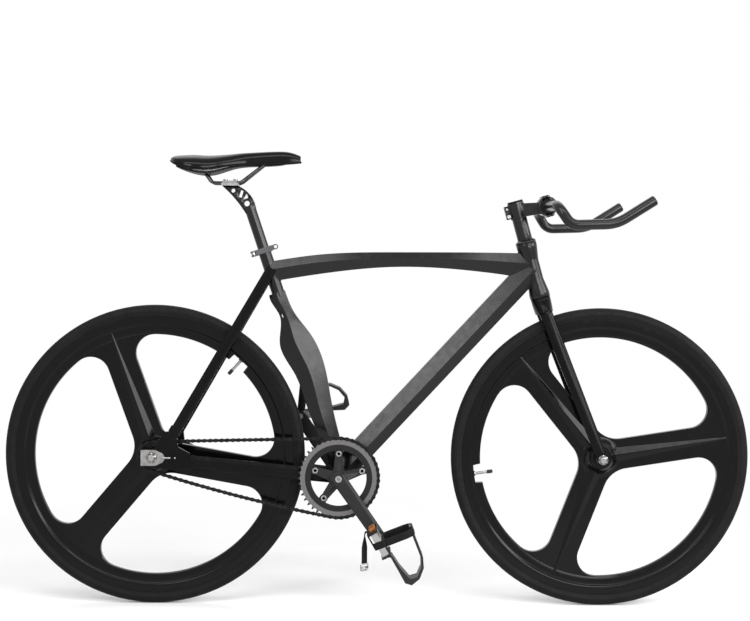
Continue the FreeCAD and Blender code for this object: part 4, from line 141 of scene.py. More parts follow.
class Shader:
    """A node material with one Principled shader, built from noise, cells and bump."""

    def __init__(self, name, roughness, metallic=0.0, specular=0.5):
        self.material = bpy.data.materials.new(name)
        self.material.use_nodes = True
        self.tree = self.material.node_tree
        self.principled = self.tree.nodes["Principled BSDF"]
        self.principled.inputs["Roughness"].default_value = roughness
        self.principled.inputs["Metallic"].default_value = metallic
        self.principled.inputs["Specular IOR Level"].default_value = specular
        self.place = self.tree.nodes.new("ShaderNodeTexCoord").outputs["Object"]
        self.normal = None

    def link(self, output, target):
        self.tree.links.new(output, target)

    def node(self, kind, inputs, **settings):
        return add_node(self.tree, kind, inputs, **settings)

    def noise(self, scale, detail=3.0, stretch=None):
        place = self.place
        if stretch:
            place = self.node("Mapping", {"Vector": place, "Scale": stretch})["Vector"]
        return self.node("TexNoise", {"Vector": place, "Scale": scale, "Detail": detail})["Fac"]

    def cells(self, scale, feature="F1"):
        return self.node("TexVoronoi", {"Vector": self.place, "Scale": scale}, feature=feature)["Distance"]

    def ramp(self, value, stops):
        node = self.tree.nodes.new("ShaderNodeValToRGB")
        elements = node.color_ramp.elements
        while len(elements) < len(stops):
            elements.new(0.5)
        for element, (position, colour) in zip(elements, stops):
            element.position = position
            element.color = (*colour, 1)
        self.link(value, node.inputs["Fac"])
        return node.outputs["Color"]

    def colour(self, value, stops, gap=0.0):
        """Base colour from a value; gap is how far from a corner or joint painted shade darkens the colour.
        """
        output = self.ramp(value, stops)
        if gap:
            # Painted shade: ambient occlusion darkens the colour near corners and joints
            openness = self.node("AmbientOcclusion", {"Distance": gap}, samples=8)["AO"]
            inputs = {"Factor": 1.0, MIX_FIRST: output, MIX_SECOND: self.ramp(openness, PAINTED_GAP_SHADE)}
            output = self.node("Mix", inputs, data_type="RGBA", blend_type="MULTIPLY")[MIX_RESULT]
        self.link(output, self.principled.inputs["Base Color"])

    def rough(self, value, low, high):
        """Roughness from low to high over a noise value's usual range."""
        self.link(self.scaled(value, *NOISE_RANGE, low, high), self.principled.inputs["Roughness"])

    def use_normal(self, normal):
        self.normal = normal
        self.link(normal, self.principled.inputs["Normal"])

    def rounded(self, radius):
        self.use_normal(self.node("Bevel", {"Radius": radius}, samples=4)["Normal"])

    def bump(self, value, height, strength):
        inputs = {"Height": value, "Distance": height, "Strength": strength}
        if self.normal is not None:
            inputs["Normal"] = self.normal
        self.use_normal(self.node("Bump", inputs)["Normal"])

    def vector(self, operation, value, fixed=(0, 0, 0)):
        """Outputs of a vector operation on a value and a fixed second term."""
        return self.node("VectorMath", {0: value, 1: fixed}, operation=operation)

    def round_axis(self, centre):
        """Distance from a line along Y through a point."""
        away = self.vector("SUBTRACT", self.place, centre)["Vector"]
        flat = self.vector("MULTIPLY", away, (1, 0, 1))["Vector"]
        return self.vector("LENGTH", flat)["Value"]

    def along_line(self, point, heading):
        """Distance from a point along a heading, without its sign."""
        away = self.vector("SUBTRACT", self.place, point)["Vector"]
        ahead = self.vector("DOT_PRODUCT", away, heading)["Value"]
        return self.node("Math", {0: ahead}, operation="ABSOLUTE")["Value"]

    def scaled(self, value, low, high, start=0.0, end=1.0):
        """The value's run from low to high, spread from start to end."""
        inputs = {"Value": value, "From Min": low, "From Max": high, "To Min": start, "To Max": end}
        return self.node("MapRange", inputs)["Result"]


def grey(level, tint=BLACK_TINT):
    return tuple(level * channel for channel in tint)


def paint(name, dark, light, roughness, specular, edge):
    """Painted metal with a fine texture in the coat and slow changes of tone."""
    shader = Shader(name, roughness, 0.0, specular)
    shader.rounded(edge)
    shader.colour(shader.noise(9.0, 4.0), [(0.3, grey(dark)), (0.7, grey(light))])
    shader.rough(shader.noise(60.0, 3.0), roughness - 0.04, roughness + 0.05)
    shader.bump(shader.noise(420.0, 2.0), 0.02 * MM, 0.15)
    return shader.material


def metal(name, dark, light, roughness, edge):
    """Bare metal with a fine grain, a little staining at random and painted shade in its corners and
    joints.
    """
    shader = Shader(name, roughness, 1.0, 0.5)
    shader.rounded(edge)
    stops = [(0.3, grey(dark, METAL_TINT)), (0.65, grey(light, METAL_TINT))]
    # Random staining in the colour, with painted shade near corners and joints
    shader.colour(shader.noise(70.0, 5.0), stops, METAL_PAINTED_SHADE_REACH)
    shader.rough(shader.noise(400.0, 3.0), roughness - 0.08, roughness + 0.1)
    shader.bump(shader.noise(1500.0, 2.0), 0.02 * MM, 0.3)
    return shader.material


def rubber(name, dark, light, roughness):
    shader = Shader(name, roughness, 0.0, 0.12)
    shader.colour(shader.noise(26.0, 5.0), [(0.25, grey(dark)), (0.75, grey(light))])
    shader.rough(shader.noise(120.0, 3.0), roughness - 0.08, roughness + 0.08)
    shader.bump(shader.noise(900.0, 4.0), 0.06 * MM, 0.3)
    return shader.material


def plastic(name, dark, light, roughness, edge, specular=0.25):
    shader = Shader(name, roughness, 0.0, specular)
    shader.rounded(edge)
    stops = [(0.3, grey(dark, PLASTIC_TINT)), (0.7, grey(light, PLASTIC_TINT))]
    shader.colour(shader.noise(40.0, 3.0), stops)
    shader.rough(shader.noise(200.0, 2.0), roughness - 0.06, roughness + 0.08)
    shader.bump(shader.cells(1400.0), 0.03 * MM, 0.3)
    return shader.material


def leather(name, dark, light, roughness, specular, grain, depth):
    shader = Shader(name, roughness, 0.0, specular)
    shader.colour(shader.noise(30.0, 4.0), [(0.3, grey(dark)), (0.7, grey(light))])
    shader.rough(shader.noise(90.0, 3.0), roughness - 0.05, roughness + 0.08)
    shader.bump(shader.cells(grain, "SMOOTH_F1"), depth, 0.25)
    shader.bump(shader.noise(grain * 0.6, 3.0), depth / 2, 0.2)
    return shader.material


def ring_face(name):
    """Black chainring with a machined grey band near its teeth."""
    shader = Shader(name, 0.4, 0.0, 0.25)
    shader.rounded(0.3 * MM)
    distance = shader.scaled(shader.round_axis(BRACKET), *RING_RUN)

    def banded(outside, inside):
        return list(zip(RING_BAND, (outside, outside, inside, inside, outside, outside)))

    shader.colour(distance, banded(grey(0.006), grey(0.16, (1.0, 0.95, 0.99))))
    shader.link(shader.ramp(distance, banded(grey(0), grey(1))), shader.principled.inputs["Metallic"])
    shader.bump(shader.noise(2600.0, 1.0), 0.02 * MM, 0.3)
    shader.rough(shader.noise(160.0, 3.0), 0.34, 0.46)
    return shader.material


def amber(name):
    shader = Shader(name, 0.14, 0.0, 0.4)
    shader.rounded(0.2 * MM)
    shader.colour(shader.noise(300.0, 2.0), [(0.3, (0.26, 0.085, 0.012)), (0.7, (0.42, 0.15, 0.02))])
    shader.bump(shader.cells(1500.0), 0.1 * MM, 0.3)
    return shader.material


def pedal_finish(name, side):
    """Silver pedal body with dark cage plates at its front and rear."""
    shader = Shader(name, 0.34, 0.85, 0.4)
    shader.rounded(0.4 * MM)
    distance = shader.along_line(PEDAL_AXIS[side], radial(PEDAL_PITCH[side]))
    reach = shader.scaled(distance, 0.0, PEDAL_RUN)
    silver = grey(0.34, (1.0, 0.98, 0.96))
    black = grey(0.02)
    shader.colour(reach, list(zip(PEDAL_BAND, (silver, silver, black, black))))
    shader.rough(shader.noise(300.0, 3.0, (1, 6, 1)), 0.28, 0.46)
    shader.bump(shader.noise(1500.0, 2.0), 0.02 * MM, 0.3)
    return shader.material


# Kind of each finish and its settings
FINISHES = {
    "frame_black": (paint, 0.002, 0.004, 0.22, 0.28, 0.8 * MM),
    "wheel_black": (paint, 0.001, 0.002, 0.14, 0.17, 0.6 * MM),
    "tyre_black": (rubber, 0.004, 0.007, 0.6),
    "tube_rubber": (rubber, 0.008, 0.014, 0.6),
    "bright_steel": (metal, 0.24, 0.4, 0.3, 0.3 * MM),
    "bearing_steel": (metal, 0.16, 0.3, 0.35, 0.3 * MM),
    "chain_black": (metal, 0.012, 0.026, 0.34, 0.1 * MM),
    "ring_black": (ring_face,),
    "crank_charcoal": (paint, 0.01, 0.015, 0.36, 0.22, 0.8 * MM),
    "pedal_silver": (metal, 0.25, 0.4, 0.36, 0.4 * MM),
    "clip_black": (plastic, 0.007, 0.013, 0.42, 0.6 * MM),
    "strap_black": (leather, 0.005, 0.009, 0.5, 0.08, 900.0, 0.12 * MM),
    "reflector_amber": (amber,),
    "cockpit_black": (paint, 0.003, 0.005, 0.2, 0.33, 0.6 * MM),
    "plug_black": (plastic, 0.008, 0.014, 0.5, 0.6 * MM),
    "collar_grey": (paint, 0.05, 0.075, 0.34, 0.4, 0.5 * MM),
    "cradle_silver": (metal, 0.26, 0.42, 0.34, 0.4 * MM),
    "rail_steel": (metal, 0.04, 0.08, 0.3, 0.3 * MM),
    "saddle_base": (plastic, 0.005, 0.009, 0.45, 0.6 * MM, 0.06),
    "saddle_skin": (leather, 0.0015, 0.003, 0.13, 0.15, 500.0, 0.01 * MM),
}
finishes = {name: kind(name, *settings) for name, (kind, *settings) in FINISHES.items()}
flat_black = paint("flat_black", 0.002, 0.004, 0.17, 0.1, 0.8 * MM)
for node, part in nodes.items():
    part.data.materials.clear()
    part.data.materials.append(finishes[slot_of[node]])
for node in ("fork_crown", "fork_blades", "chainstays", "seatstays", "track_ends"):
    nodes[node].data.materials[0] = flat_black
for side in ("right", "left"):
    nodes["pedal_" + side].data.materials[0] = pedal_finish("pedal_silver_" + side, side)


def placed(name, data):
    """A new object in the scene."""
    piece = bpy.data.objects.new(name, data)
    bpy.context.scene.collection.objects.link(piece)
    return piece


def new_piece(mesh, body, slot, *stands_for):
    """A mesh as a piece of its name that rides on a body and takes a slot's finish."""
    piece = placed(mesh.name, mesh)
    mesh.materials.append(finishes[slot])
    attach(piece, body)
    if stands_for:
        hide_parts(*stands_for)
    return piece


def mesh_of(name, points, faces, smooth=True):
    """A mesh with its faces turned outwards."""
    mesh = bpy.data.meshes.new(name)
    mesh.from_pydata([tuple(point) for point in points], [], faces)
    mesh.validate()
    work = bmesh.new()
    work.from_mesh(mesh)
    bmesh.ops.recalc_face_normals(work, faces=work.faces)
    work.to_mesh(mesh)
    work.free()
    if smooth:
        mesh.polygons.foreach_set("use_smooth", [True] * len(mesh.polygons))
    return mesh


def merged(mesh, gap):
    """Editable copy of a mesh, with points nearer than a gap made one."""
    work = bmesh.new()
    work.from_mesh(mesh)
    bmesh.ops.remove_doubles(work, verts=work.verts, dist=gap)
    return work


def grid_faces(rows, columns, close_rows, close_columns):
    """Quads of a grid of points, row by row, joined round where asked."""
    faces = []
    for row in range(rows if close_rows else rows - 1):
        for column in range(columns if close_columns else columns - 1):
            after = (row + 1) % rows
            beside = (column + 1) % columns
            faces.append((row * columns + column, row * columns + beside,
                          after * columns + beside, after * columns + column))
    return faces


def capped_faces(rows, columns):
    """Faces of rows of points that each close round, with both ends filled in."""
    faces = grid_faces(rows, columns, False, True)
    faces.append(tuple(reversed(range(columns))))
    faces.append(tuple(range((rows - 1) * columns, rows * columns)))
    return faces


def heading_at(path, number, closed):
    """Direction of a line at one of its points."""
    last = len(path) - 1
    if closed:
        return (path[(number + 1) % len(path)] - path[number - 1]).normalized()
    return (path[min(number + 1, last)] - path[max(number - 1, 0)]).normalized()


# Sine of the angle from upright below which a line needs another way across
NEAR_UPRIGHT = 0.05


def tube(path, radius, sides, closed):
    """Round tube along points; the radius may be a function of the point's number."""
    points = []
    for number, point in enumerate(path):
        heading = heading_at(path, number, closed)
        beside = heading.cross(Vector((0, 0, 1)))
        if beside.length < NEAR_UPRIGHT:
            beside = heading.cross(Vector((1, 0, 0)))
        beside.normalize()
        above = beside.cross(heading)
        size = radius(number) if callable(radius) else radius
        for turn in circle(sides):
            points.append(point + beside * size * math.cos(turn) + above * size * math.sin(turn))
    if closed:
        return points, grid_faces(len(path), sides, True, True)
    return points, capped_faces(len(path), sides)


def lathe(profile, centre, axis, sides, closed=False, sink=None):
    """Turned solid from (radius, distance along the axis) points; sink lowers chosen points."""
    across = axis.orthogonal().normalized()
    other = axis.cross(across)
    points = []
    for step, turn in enumerate(circle(sides)):
        outward = across * math.cos(turn) + other * math.sin(turn)
        for number, (radius, along) in enumerate(profile):
            drop = sink(step, number) if sink else 0.0
            points.append(centre + outward * radius + axis * (along - drop))
    count = len(profile)
    faces = grid_faces(sides, count, True, closed)
    if not closed:
        faces.append(tuple(step * count for step in range(sides)))
        faces.append(tuple(reversed([step * count + count - 1 for step in range(sides)])))
    return points, faces


def ribbon(path, across, width, thickness, closed):
    """Flat strap along points, with rounded edges; across has the way of its width at each point."""
    half = width / 2
    thick = thickness / 2
    lip = 0.6 * thick
    upper = [(half, -0.4 * thick), (half, 0.4 * thick), (half - lip, thick), (-half + lip, thick)]
    section = upper + [(-wide, -deep) for wide, deep in upper]
    points = []
    for number, point in enumerate(path):
        wide_way = across[number]
        deep_way = heading_at(path, number, closed).cross(wide_way).normalized()
        points += [point + wide_way * wide + deep_way * deep for wide, deep in section]
    if closed:
        return points, grid_faces(len(path), len(section), True, True)
    return points, capped_faces(len(path), len(section))


CORNER_SHARE = 0.48


def round_corners(corners, size, closed, steps=6):
    """The line through the corners with each corner eased over a given length."""
    count = len(corners)
    line = []
    for number, corner in enumerate(corners):
        if not closed and number in (0, count - 1):
            line.append(corner.copy())
            continue
        before = corners[number - 1]
        after = corners[(number + 1) % count]
        to_before = before - corner
        to_after = after - corner
        start = corner + to_before.normalized() * min(size, CORNER_SHARE * to_before.length)
        end = corner + to_after.normalized() * min(size, CORNER_SHARE * to_after.length)
        for step in range(steps + 1):
            share = step / steps
            line.append(start * (1 - share) ** 2 + corner * 2 * share * (1 - share) + end * share ** 2)
    return line


def joined(parts):
    """Points and faces of several meshes in one."""
    points, faces = [], []
    for part_points, part_faces in parts:
        offset = len(points)
        points += part_points
        faces += [tuple(index + offset for index in face) for face in part_faces]
    return points, faces


def mirrored(half):
    """Half of a profile and then its mirror image, for (distance, side) points."""
    return half + [(distance, -side) for distance, side in reversed(half)]


def metres(pairs):
    """Pairs of millimetres in metres."""
    return [(first * MM, second * MM) for first, second in pairs]


def clamped(value):
    return max(0.0, min(1.0, value))


def turned(along, up, turn):
    """Point of the side plane turned from forwards towards up."""
    return along * math.cos(turn) - up * math.sin(turn), along * math.sin(turn) + up * math.cos(turn)


# Tubes, bars and arms, with smooth shading over their curves and crisp edges

ROUND_NODES = (
    "head_tube", "bottom_bracket_shell", "seat_clamp_collar", "headset_cover", "headset_spacers", "stem",
    "stem_faceplate", "stem_cap", "handlebar", "bar_end_plugs", "seatpost", "saddle_rails", "fork_crown",
    "front_axle_nuts", "rear_axle_nuts",
)
SHAPED_NODES = (
    "chainstays", "seatstays", "seat_clamp_lever", "fork_blades", "saddle_cradle", "saddle_clamp",
    "saddle_shell", "crank_right", "crank_left", "toe_clip_right", "toe_clip_left",
)
CRISP_ROUND = math.radians(50)
CRISP_SHAPED = math.radians(22)
SMOOTH_MERGE = 0.002 * MM


def smooth_piece(node, crisp):
    work = merged(nodes[node].data, SMOOTH_MERGE)
    mesh = bpy.data.meshes.new("smooth_" + node)
    work.to_mesh(mesh)
    work.free()
    mesh.polygons.foreach_set("use_smooth", [True] * len(mesh.polygons))
    mesh.set_sharp_from_angle(angle=crisp)
    piece = new_piece(mesh, body_of[node], slot_of[node], node)
    piece.data.materials[0] = nodes[node].data.materials[0]
    normals = piece.modifiers.new("normals", "WEIGHTED_NORMAL")
    normals.keep_sharp = True


for node in ROUND_NODES:
    smooth_piece(node, CRISP_ROUND)
for node in SHAPED_NODES:
    smooth_piece(node, CRISP_SHAPED)


# Cast wheels

RIM_INNER = RIM_RADIUS - 41 * MM
# Height above the inner edge and half width of the rim, in millimetres
RIM_HALF_SECTION = [
    (0.0, 5.5),
    (0.7, 7.2),
    (2.2, 8.0),
    (19.0, 8.3),
    (20.5, 9.2),
    (22.0, 11.2),
    (23.5, 12.0),
    (25.0, 12.3),
    (41.0, 12.3),
]
RIM_STEPS = 720
NOTCH_HALF = 19 * MM
NOTCH_DEPTH = 16 * MM
VALVE_TURN = {"front": math.radians(188), "rear": math.radians(48)}
SPOKES = 3
SPOKE_TURN = {"front": math.radians(129), "rear": math.radians(110)}
SPOKE_HALF = 34 * MM
WEB_HALF = 8 * MM
WEB_BEVEL = 1.4 * MM
WEB_LAP = 3 * MM
WINDOW_HUB_ROUND = 60 * MM
WINDOW_RIM_ROUND = 42 * MM
# Distance from the axle and half width of a spoke's ridge at its ends
RIDGE_START = (24 * MM, 17 * MM)
RIDGE_END = (RIM_INNER + 19 * MM, 2.5 * MM)
RIDGE_FOOT = WEB_HALF - 0.4 * MM
RIDGE_SLOPE = math.tan(math.radians(30))
# Share of the ridge's width that its crest keeps
RIDGE_CREST = 0.1
HUB_BORE = 13 * MM
HUB_SEAT = 17 * MM
HUB_SHELL = 27 * MM
HUB_STEP = 5 * MM
HUB_FOOT = 46 * MM
HUB_SHOULDER = {"front": 34 * MM, "rear": 41 * MM}
HUB_END = {"front": 42 * MM, "rear": 52 * MM}
HUB_CURVE_STEPS = 8
HUB_SIDES = 72
CRISP_WHEEL = math.radians(28)


def rim(axle, valve_turn):
    """Deep rim with a rounded step on each side and a notch for the valve."""
    profile = mirrored(metres(RIM_HALF_SECTION))
    points = []
    for turn in circle(RIM_STEPS):
        away = turn - valve_turn
        notched = math.cos(away) > 0 and abs(math.sin(away)) * RIM_INNER < NOTCH_HALF
        for deep, wide in profile:
            radius = RIM_INNER + (max(deep, NOTCH_DEPTH) if notched else deep)
            points.append(axle + Vector((radius * math.cos(turn), wide, radius * math.sin(turn))))
    return points, grid_faces(RIM_STEPS, len(profile), True, True)


def arc(centre, size, start, end, steps):
    turns = [start + (end - start) * step / steps for step in range(steps + 1)]
    return [(centre[0] + size * math.cos(turn), centre[1] + size * math.sin(turn)) for turn in turns]


def spokes_outline():
    """Outline of all the spokes round the axle, the first along X, with large rounds between them."""
    spread = math.pi / SPOKES
    hub_reach = (SPOKE_HALF + WINDOW_HUB_ROUND) / math.sin(spread)
    rim_reach = RIM_INNER - WINDOW_RIM_ROUND
    lean = math.asin((SPOKE_HALF + WINDOW_RIM_ROUND) / rim_reach)
    corner = spread - lean
    square = math.pi / 2 + spread
    outline = []
    for number in range(SPOKES):
        low = (rim_reach * math.cos(corner), -rim_reach * math.sin(corner))
        high = (low[0], -low[1])
        window = arc(low, WINDOW_RIM_ROUND, -corner, -square, 14)
        window += arc((hub_reach, 0), WINDOW_HUB_ROUND, -square, square - 2 * math.pi, 12)
        window += arc(high, WINDOW_RIM_ROUND, square, corner, 14)
        window += arc((0, 0), RIM_INNER + WEB_LAP, corner, spread + lean, 8)
        outline += [turned(along, up, (2 * number + 1) * spread) for along, up in window]
    return outline


def spoke_web(axle, turn):
    """The flat web of all the spokes, with eased edges."""
    outline = spokes_outline()
    count = len(outline)
    rings = mirrored([(WEB_BEVEL, -WEB_HALF), (0.0, WEB_BEVEL - WEB_HALF)])
    points = []
    for inset, side in rings:
        for number, (along, up) in enumerate(outline):
            behind = Vector(outline[number - 1])
            ahead = Vector(outline[(number + 1) % count])
            heading = (ahead - behind).normalized()
            along, up = turned(along - heading.y * inset, up + heading.x * inset, turn)
            points.append(axle + Vector((along, side, up)))
    return points, capped_faces(len(rings), count)


def spoke_ridge(axle, turn, side):
    """Narrow ridge on a spoke that runs out to a point at the step of the rim."""
    points = []
    for reach, half in (RIDGE_START, RIDGE_END):
        top = RIDGE_CREST * half
        crest = RIDGE_FOOT + RIDGE_SLOPE * (half - top)
        for across, rise in ((-half, RIDGE_FOOT), (-top, crest), (top, crest), (half, RIDGE_FOOT)):
            along, up = turned(reach, across, turn)
            points.append(axle + Vector((along, side * rise, up)))
    return points, capped_faces(2, 4)


def hub(axle, shoulder, end):
    """Turned hub that spreads in a curve down to the web of the spokes."""
    half = [(HUB_BORE, end), (HUB_SEAT, end), (HUB_SEAT, shoulder), (HUB_SHELL - HUB_STEP, shoulder)]
    for step in range(HUB_CURVE_STEPS + 1):
        share = step / HUB_CURVE_STEPS
        height = WEB_HALF + (shoulder - HUB_STEP - WEB_HALF) * (1 - share) ** 2
        half.append((HUB_SHELL + (HUB_FOOT - HUB_SHELL) * share, height))
    return lathe(mirrored(half), axle, SIDE, HUB_SIDES, True)


def cast_wheel(name, axle):
    turns = [SPOKE_TURN[name] + turn for turn in circle(SPOKES)]
    parts = [rim(axle, VALVE_TURN[name]), spoke_web(axle, turns[0])]
    parts.append(hub(axle, HUB_SHOULDER[name], HUB_END[name]))
    parts += [spoke_ridge(axle, turn, side) for turn in turns for side in (-1, 1)]
    mesh = mesh_of(name + "_cast_wheel", *joined(parts))
    mesh.set_sharp_from_angle(angle=CRISP_WHEEL)
    new_piece(mesh, name + "_wheel_body", "wheel_black", name + "_wheel")


for name, axle in AXLES.items():
    cast_wheel(name, axle)


# Tyres

# Bead points as (height above the rim's edge, half width)
TYRE_BEAD = [(-0.6 * MM, 11.2 * MM), (1.0 * MM, 11.8 * MM)]
TYRE_MIDDLE = RIM_RADIUS + 11.8 * MM
TYRE_FLANK = 11.8 * MM
TYRE_HALF = 13.4 * MM
TYRE_FULLNESS = 0.9
# Degrees of the section's round from flank to crown
TYRE_TURN = (-35, 90)
TYRE_STEPS = 16
TYRE_AROUND = 540
# Sipes and ribs, as shares of the height from rim to crown and as steps round the tyre
SIPE_BAND = (0.72, 0.955)
SIPE_SLANT = 14
SIPE_SPACING = 9
SIPE_WIDTH = 2
SIPE_DEPTH = 0.6 * MM
RIB_BANDS = ((0.3, 0.36), (0.6, 0.64))
RIB_DEPTH = 0.4 * MM


def tyre_section():
    """Half section of the tyre from bead to crown, as (radius, half width)."""
    points = [(RIM_RADIUS + rise, half) for rise, half in TYRE_BEAD]
    low, high = TYRE_TURN
    for step in range(1, TYRE_STEPS + 1):
        turn = math.radians(low + (high - low) * step / TYRE_STEPS)
        rise = TYRE_RADIUS - TYRE_MIDDLE if turn > 0 else TYRE_FLANK
        points.append((TYRE_MIDDLE + rise * math.sin(turn), TYRE_HALF * math.cos(turn) ** TYRE_FULLNESS))
    points[-1] = (TYRE_RADIUS, 0.0)
    return points


def tread_cut(step, radius, width):
    """Depth of the cuts at a point: ribs on the flanks and slanted sipes on the shoulders."""
    share = (radius - RIM_RADIUS) / (TYRE_RADIUS - RIM_RADIUS)
    if any(low < share < high for low, high in RIB_BANDS):
        return RIB_DEPTH
    low, high = SIPE_BAND
    slant = step + (share - low) * SIPE_SLANT * (1 if width > 0 else -1)
    return SIPE_DEPTH if low < share < high and slant % SIPE_SPACING < SIPE_WIDTH else 0.0


def tyre(name, axle):
    """Road tyre with ribbed flanks and sipes on both shoulders."""
    half = tyre_section()
    profile = half + [(radius, -width) for radius, width in reversed(half[:-1])]
    points = []
    for step, turn in enumerate(circle(TYRE_AROUND)):
        for radius, width in profile:
            reach = radius - tread_cut(step, radius, width)
            points.append(axle + Vector((reach * math.cos(turn), width, reach * math.sin(turn))))
    faces = grid_faces(TYRE_AROUND, len(profile), True, True)
    mesh = mesh_of(name + "_road_tyre", points, faces)
    new_piece(mesh, name + "_wheel_body", "tyre_black", name + "_tyre")


for name, axle in AXLES.items():
    tyre(name, axle)


# Saddle

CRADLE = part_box("saddle_cradle")
SADDLE_X = (CRADLE[0].x + CRADLE[1].x) / 2
RAIL_Z = CRADLE[1].z
# Stations from tail to nose in millimetres: ahead of the cradle, half width, top, lower edge
SADDLE_STATIONS = [
    (-130, 36, 56, 47),
    (-116, 60, 60, 38),
    (-80, 72, 62, 29),
    (-44, 65, 61, 28),
    (-4, 44, 64, 36),
    (40, 27, 69, 41),
    (120, 19, 72.5, 45),
    (157, 12, 62, 48),
]


SADDLE_LAST = len(SADDLE_STATIONS) - 1
SADDLE_ROWS = 84
SADDLE_COLUMNS = 37
FLANK_ROUND = 0.72
TOP_ROUND = 0.78
# Channel along the middle in millimetres, and the station and length over which each end fades
CHANNEL_DEPTH = 2.2
CHANNEL_WIDTH = 8.0
CHANNEL_REAR = (0.6, 1.5)
CHANNEL_FRONT = (6.6, 1.2)
UNDER_SHARES = (0.06, 0.3, 0.5, 0.7, 0.94)
UNDER_RISE = Vector((0, 0, 1.5 * MM))
PIPING_STEPS = 90
PIPING_RADIUS = 1.6 * MM


def eased(values, place):
    """Smooth value through evenly numbered ones (Catmull-Rom)."""
    first = min(int(place), len(values) - 2)
    share = place - first
    before = values[max(first - 1, 0)]
    start, end = values[first], values[first + 1]
    after = values[min(first + 2, len(values) - 1)]
    slope = end - before
    bend = 2 * before - 5 * start + 4 * end - after
    swing = 3 * start - before - 3 * end + after
    return 0.5 * (2 * start + slope * share + bend * share ** 2 + swing * share ** 3)


def saddle_point(place, turn):
    """Point of the padded skin at a place along the stations and a share of the way from right to left."""
    ahead, half, top, edge = (eased(column, place) for column in zip(*SADDLE_STATIONS))
    across = math.cos(math.pi * turn)
    rise = math.sin(math.pi * turn)
    width = half * math.copysign(abs(across) ** FLANK_ROUND, across)
    height = edge + (top - edge) * rise ** TOP_ROUND
    from_rear = clamped((place - CHANNEL_REAR[0]) / CHANNEL_REAR[1])
    from_front = clamped((CHANNEL_FRONT[0] - place) / CHANNEL_FRONT[1])
    height -= CHANNEL_DEPTH * from_rear * from_front * math.exp(-(width / CHANNEL_WIDTH) ** 2)
    return Vector((SADDLE_X + ahead * MM, width * MM, RAIL_Z + height * MM))


def saddle_cover():
    points = []
    for row in range(SADDLE_ROWS):
        place = SADDLE_LAST * row / (SADDLE_ROWS - 1)
        skin = [saddle_point(place, column / (SADDLE_COLUMNS - 1)) for column in range(SADDLE_COLUMNS)]
        right, left = skin[0], skin[-1]
        points += skin + [left + (right - left) * share + UNDER_RISE for share in UNDER_SHARES]
    faces = capped_faces(SADDLE_ROWS, SADDLE_COLUMNS + len(UNDER_SHARES))
    mesh = mesh_of("saddle_padding", points, faces)
    piece = new_piece(mesh, "seat", "saddle_skin", "saddle_cover")
    rounding = piece.modifiers.new("rounding", "SUBSURF")
    rounding.levels = 1
    rounding.render_levels = 1


def saddle_trim():
    """Piping round the lower edge."""
    places = [SADDLE_LAST * step / PIPING_STEPS for step in range(PIPING_STEPS + 1)]
    loop = [saddle_point(place, 0.0) for place in places]
    loop += [saddle_point(place, 1.0) for place in reversed(places)]
    piping = tube(loop, PIPING_RADIUS, 8, True)
    new_piece(mesh_of("saddle_piping", *piping), "seat", "saddle_base")


saddle_cover()
saddle_trim()


# Chain

HALF_PITCH = 6.35 * MM
PLATE_ROUND = 4.1 * MM
PLATE_WAIST = 2.8 * MM
WAIST_LENGTH = 2.3 * MM
WAIST_SWELL = 1.08
PLATE_HALF = 0.6 * MM
PLATE_BEVEL = 0.25 * MM
# Distance of inner and outer plates from the middle of the chain
PLATE_PLACES = (2.35 * MM, 3.55 * MM)
ROLLER_RADIUS = 3.875 * MM
ROLLER_HALF = 1.75 * MM
PIN_RADIUS = 1.8 * MM
PIN_HALF = 4.7 * MM
# Shares of the radius and of the half length that a chamfer leaves
ROLLER_CHAMFER = (0.93, 0.85)
PIN_CHAMFER = (0.6, 0.95)
SOLID_MERGE = 0.001 * MM


def separate_solids(mesh):
    """Points of each separate solid of a mesh."""
    work = merged(mesh, SOLID_MERGE)
    groups, used = [], set()
    for first in work.verts:
        if first in used:
            continue
        used.add(first)
        group, waiting = [], [first]
        while waiting:
            vert = waiting.pop()
            group.append(vert.co.copy())
            for edge in vert.link_edges:
                other = edge.other_vert(vert)
                if other not in used:
                    used.add(other)
                    waiting.append(other)
        groups.append(group)
    work.free()
    return groups


def link_outline(inset):
    """Figure-of-eight outline of a link plate."""
    size = PLATE_ROUND - inset
    turns = [math.radians(-100 + 20 * step) for step in range(11)]
    right = [(HALF_PITCH + size * math.cos(turn), size * math.sin(turn)) for turn in turns]
    side = WAIST_SWELL * PLATE_WAIST - inset
    top = right + [(WAIST_LENGTH, side), (0.0, PLATE_WAIST - inset), (-WAIST_LENGTH, side)]
    return top + [(-along, -up) for along, up in top]


def link_plate(centre, heading):
    up = Vector((-heading.z, 0, heading.x))
    rings = mirrored([(PLATE_BEVEL, -PLATE_HALF), (0.0, PLATE_BEVEL - PLATE_HALF)])
    points = []
    for inset, side in rings:
        middle = centre + SIDE * side
        points += [middle + heading * along + up * rise for along, rise in link_outline(inset)]
    return points, capped_faces(len(rings), len(points) // len(rings))


def roller_centres():
    """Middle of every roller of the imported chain, in order round the loop."""
    left = []
    for group in separate_solids(nodes["chain"].data):
        sides = [point.y for point in group]
        if max(sides) - min(sides) > 2 * ROLLER_HALF - PLATE_HALF:
            centre = sum(group, Vector()) / len(group)
            centre.y = (max(sides) + min(sides)) / 2
            left.append(centre)
    ordered = [left.pop(0)]
    while left:
        nearest = min(left, key=lambda centre: (centre - ordered[-1]).length)
        left.remove(nearest)
        ordered.append(nearest)
    return ordered


def chamfer(radius, half, shares):
    """Profile of the chamfer at one end of a turned piece."""
    return [(shares[0] * radius, -half), (radius, -shares[1] * half)]


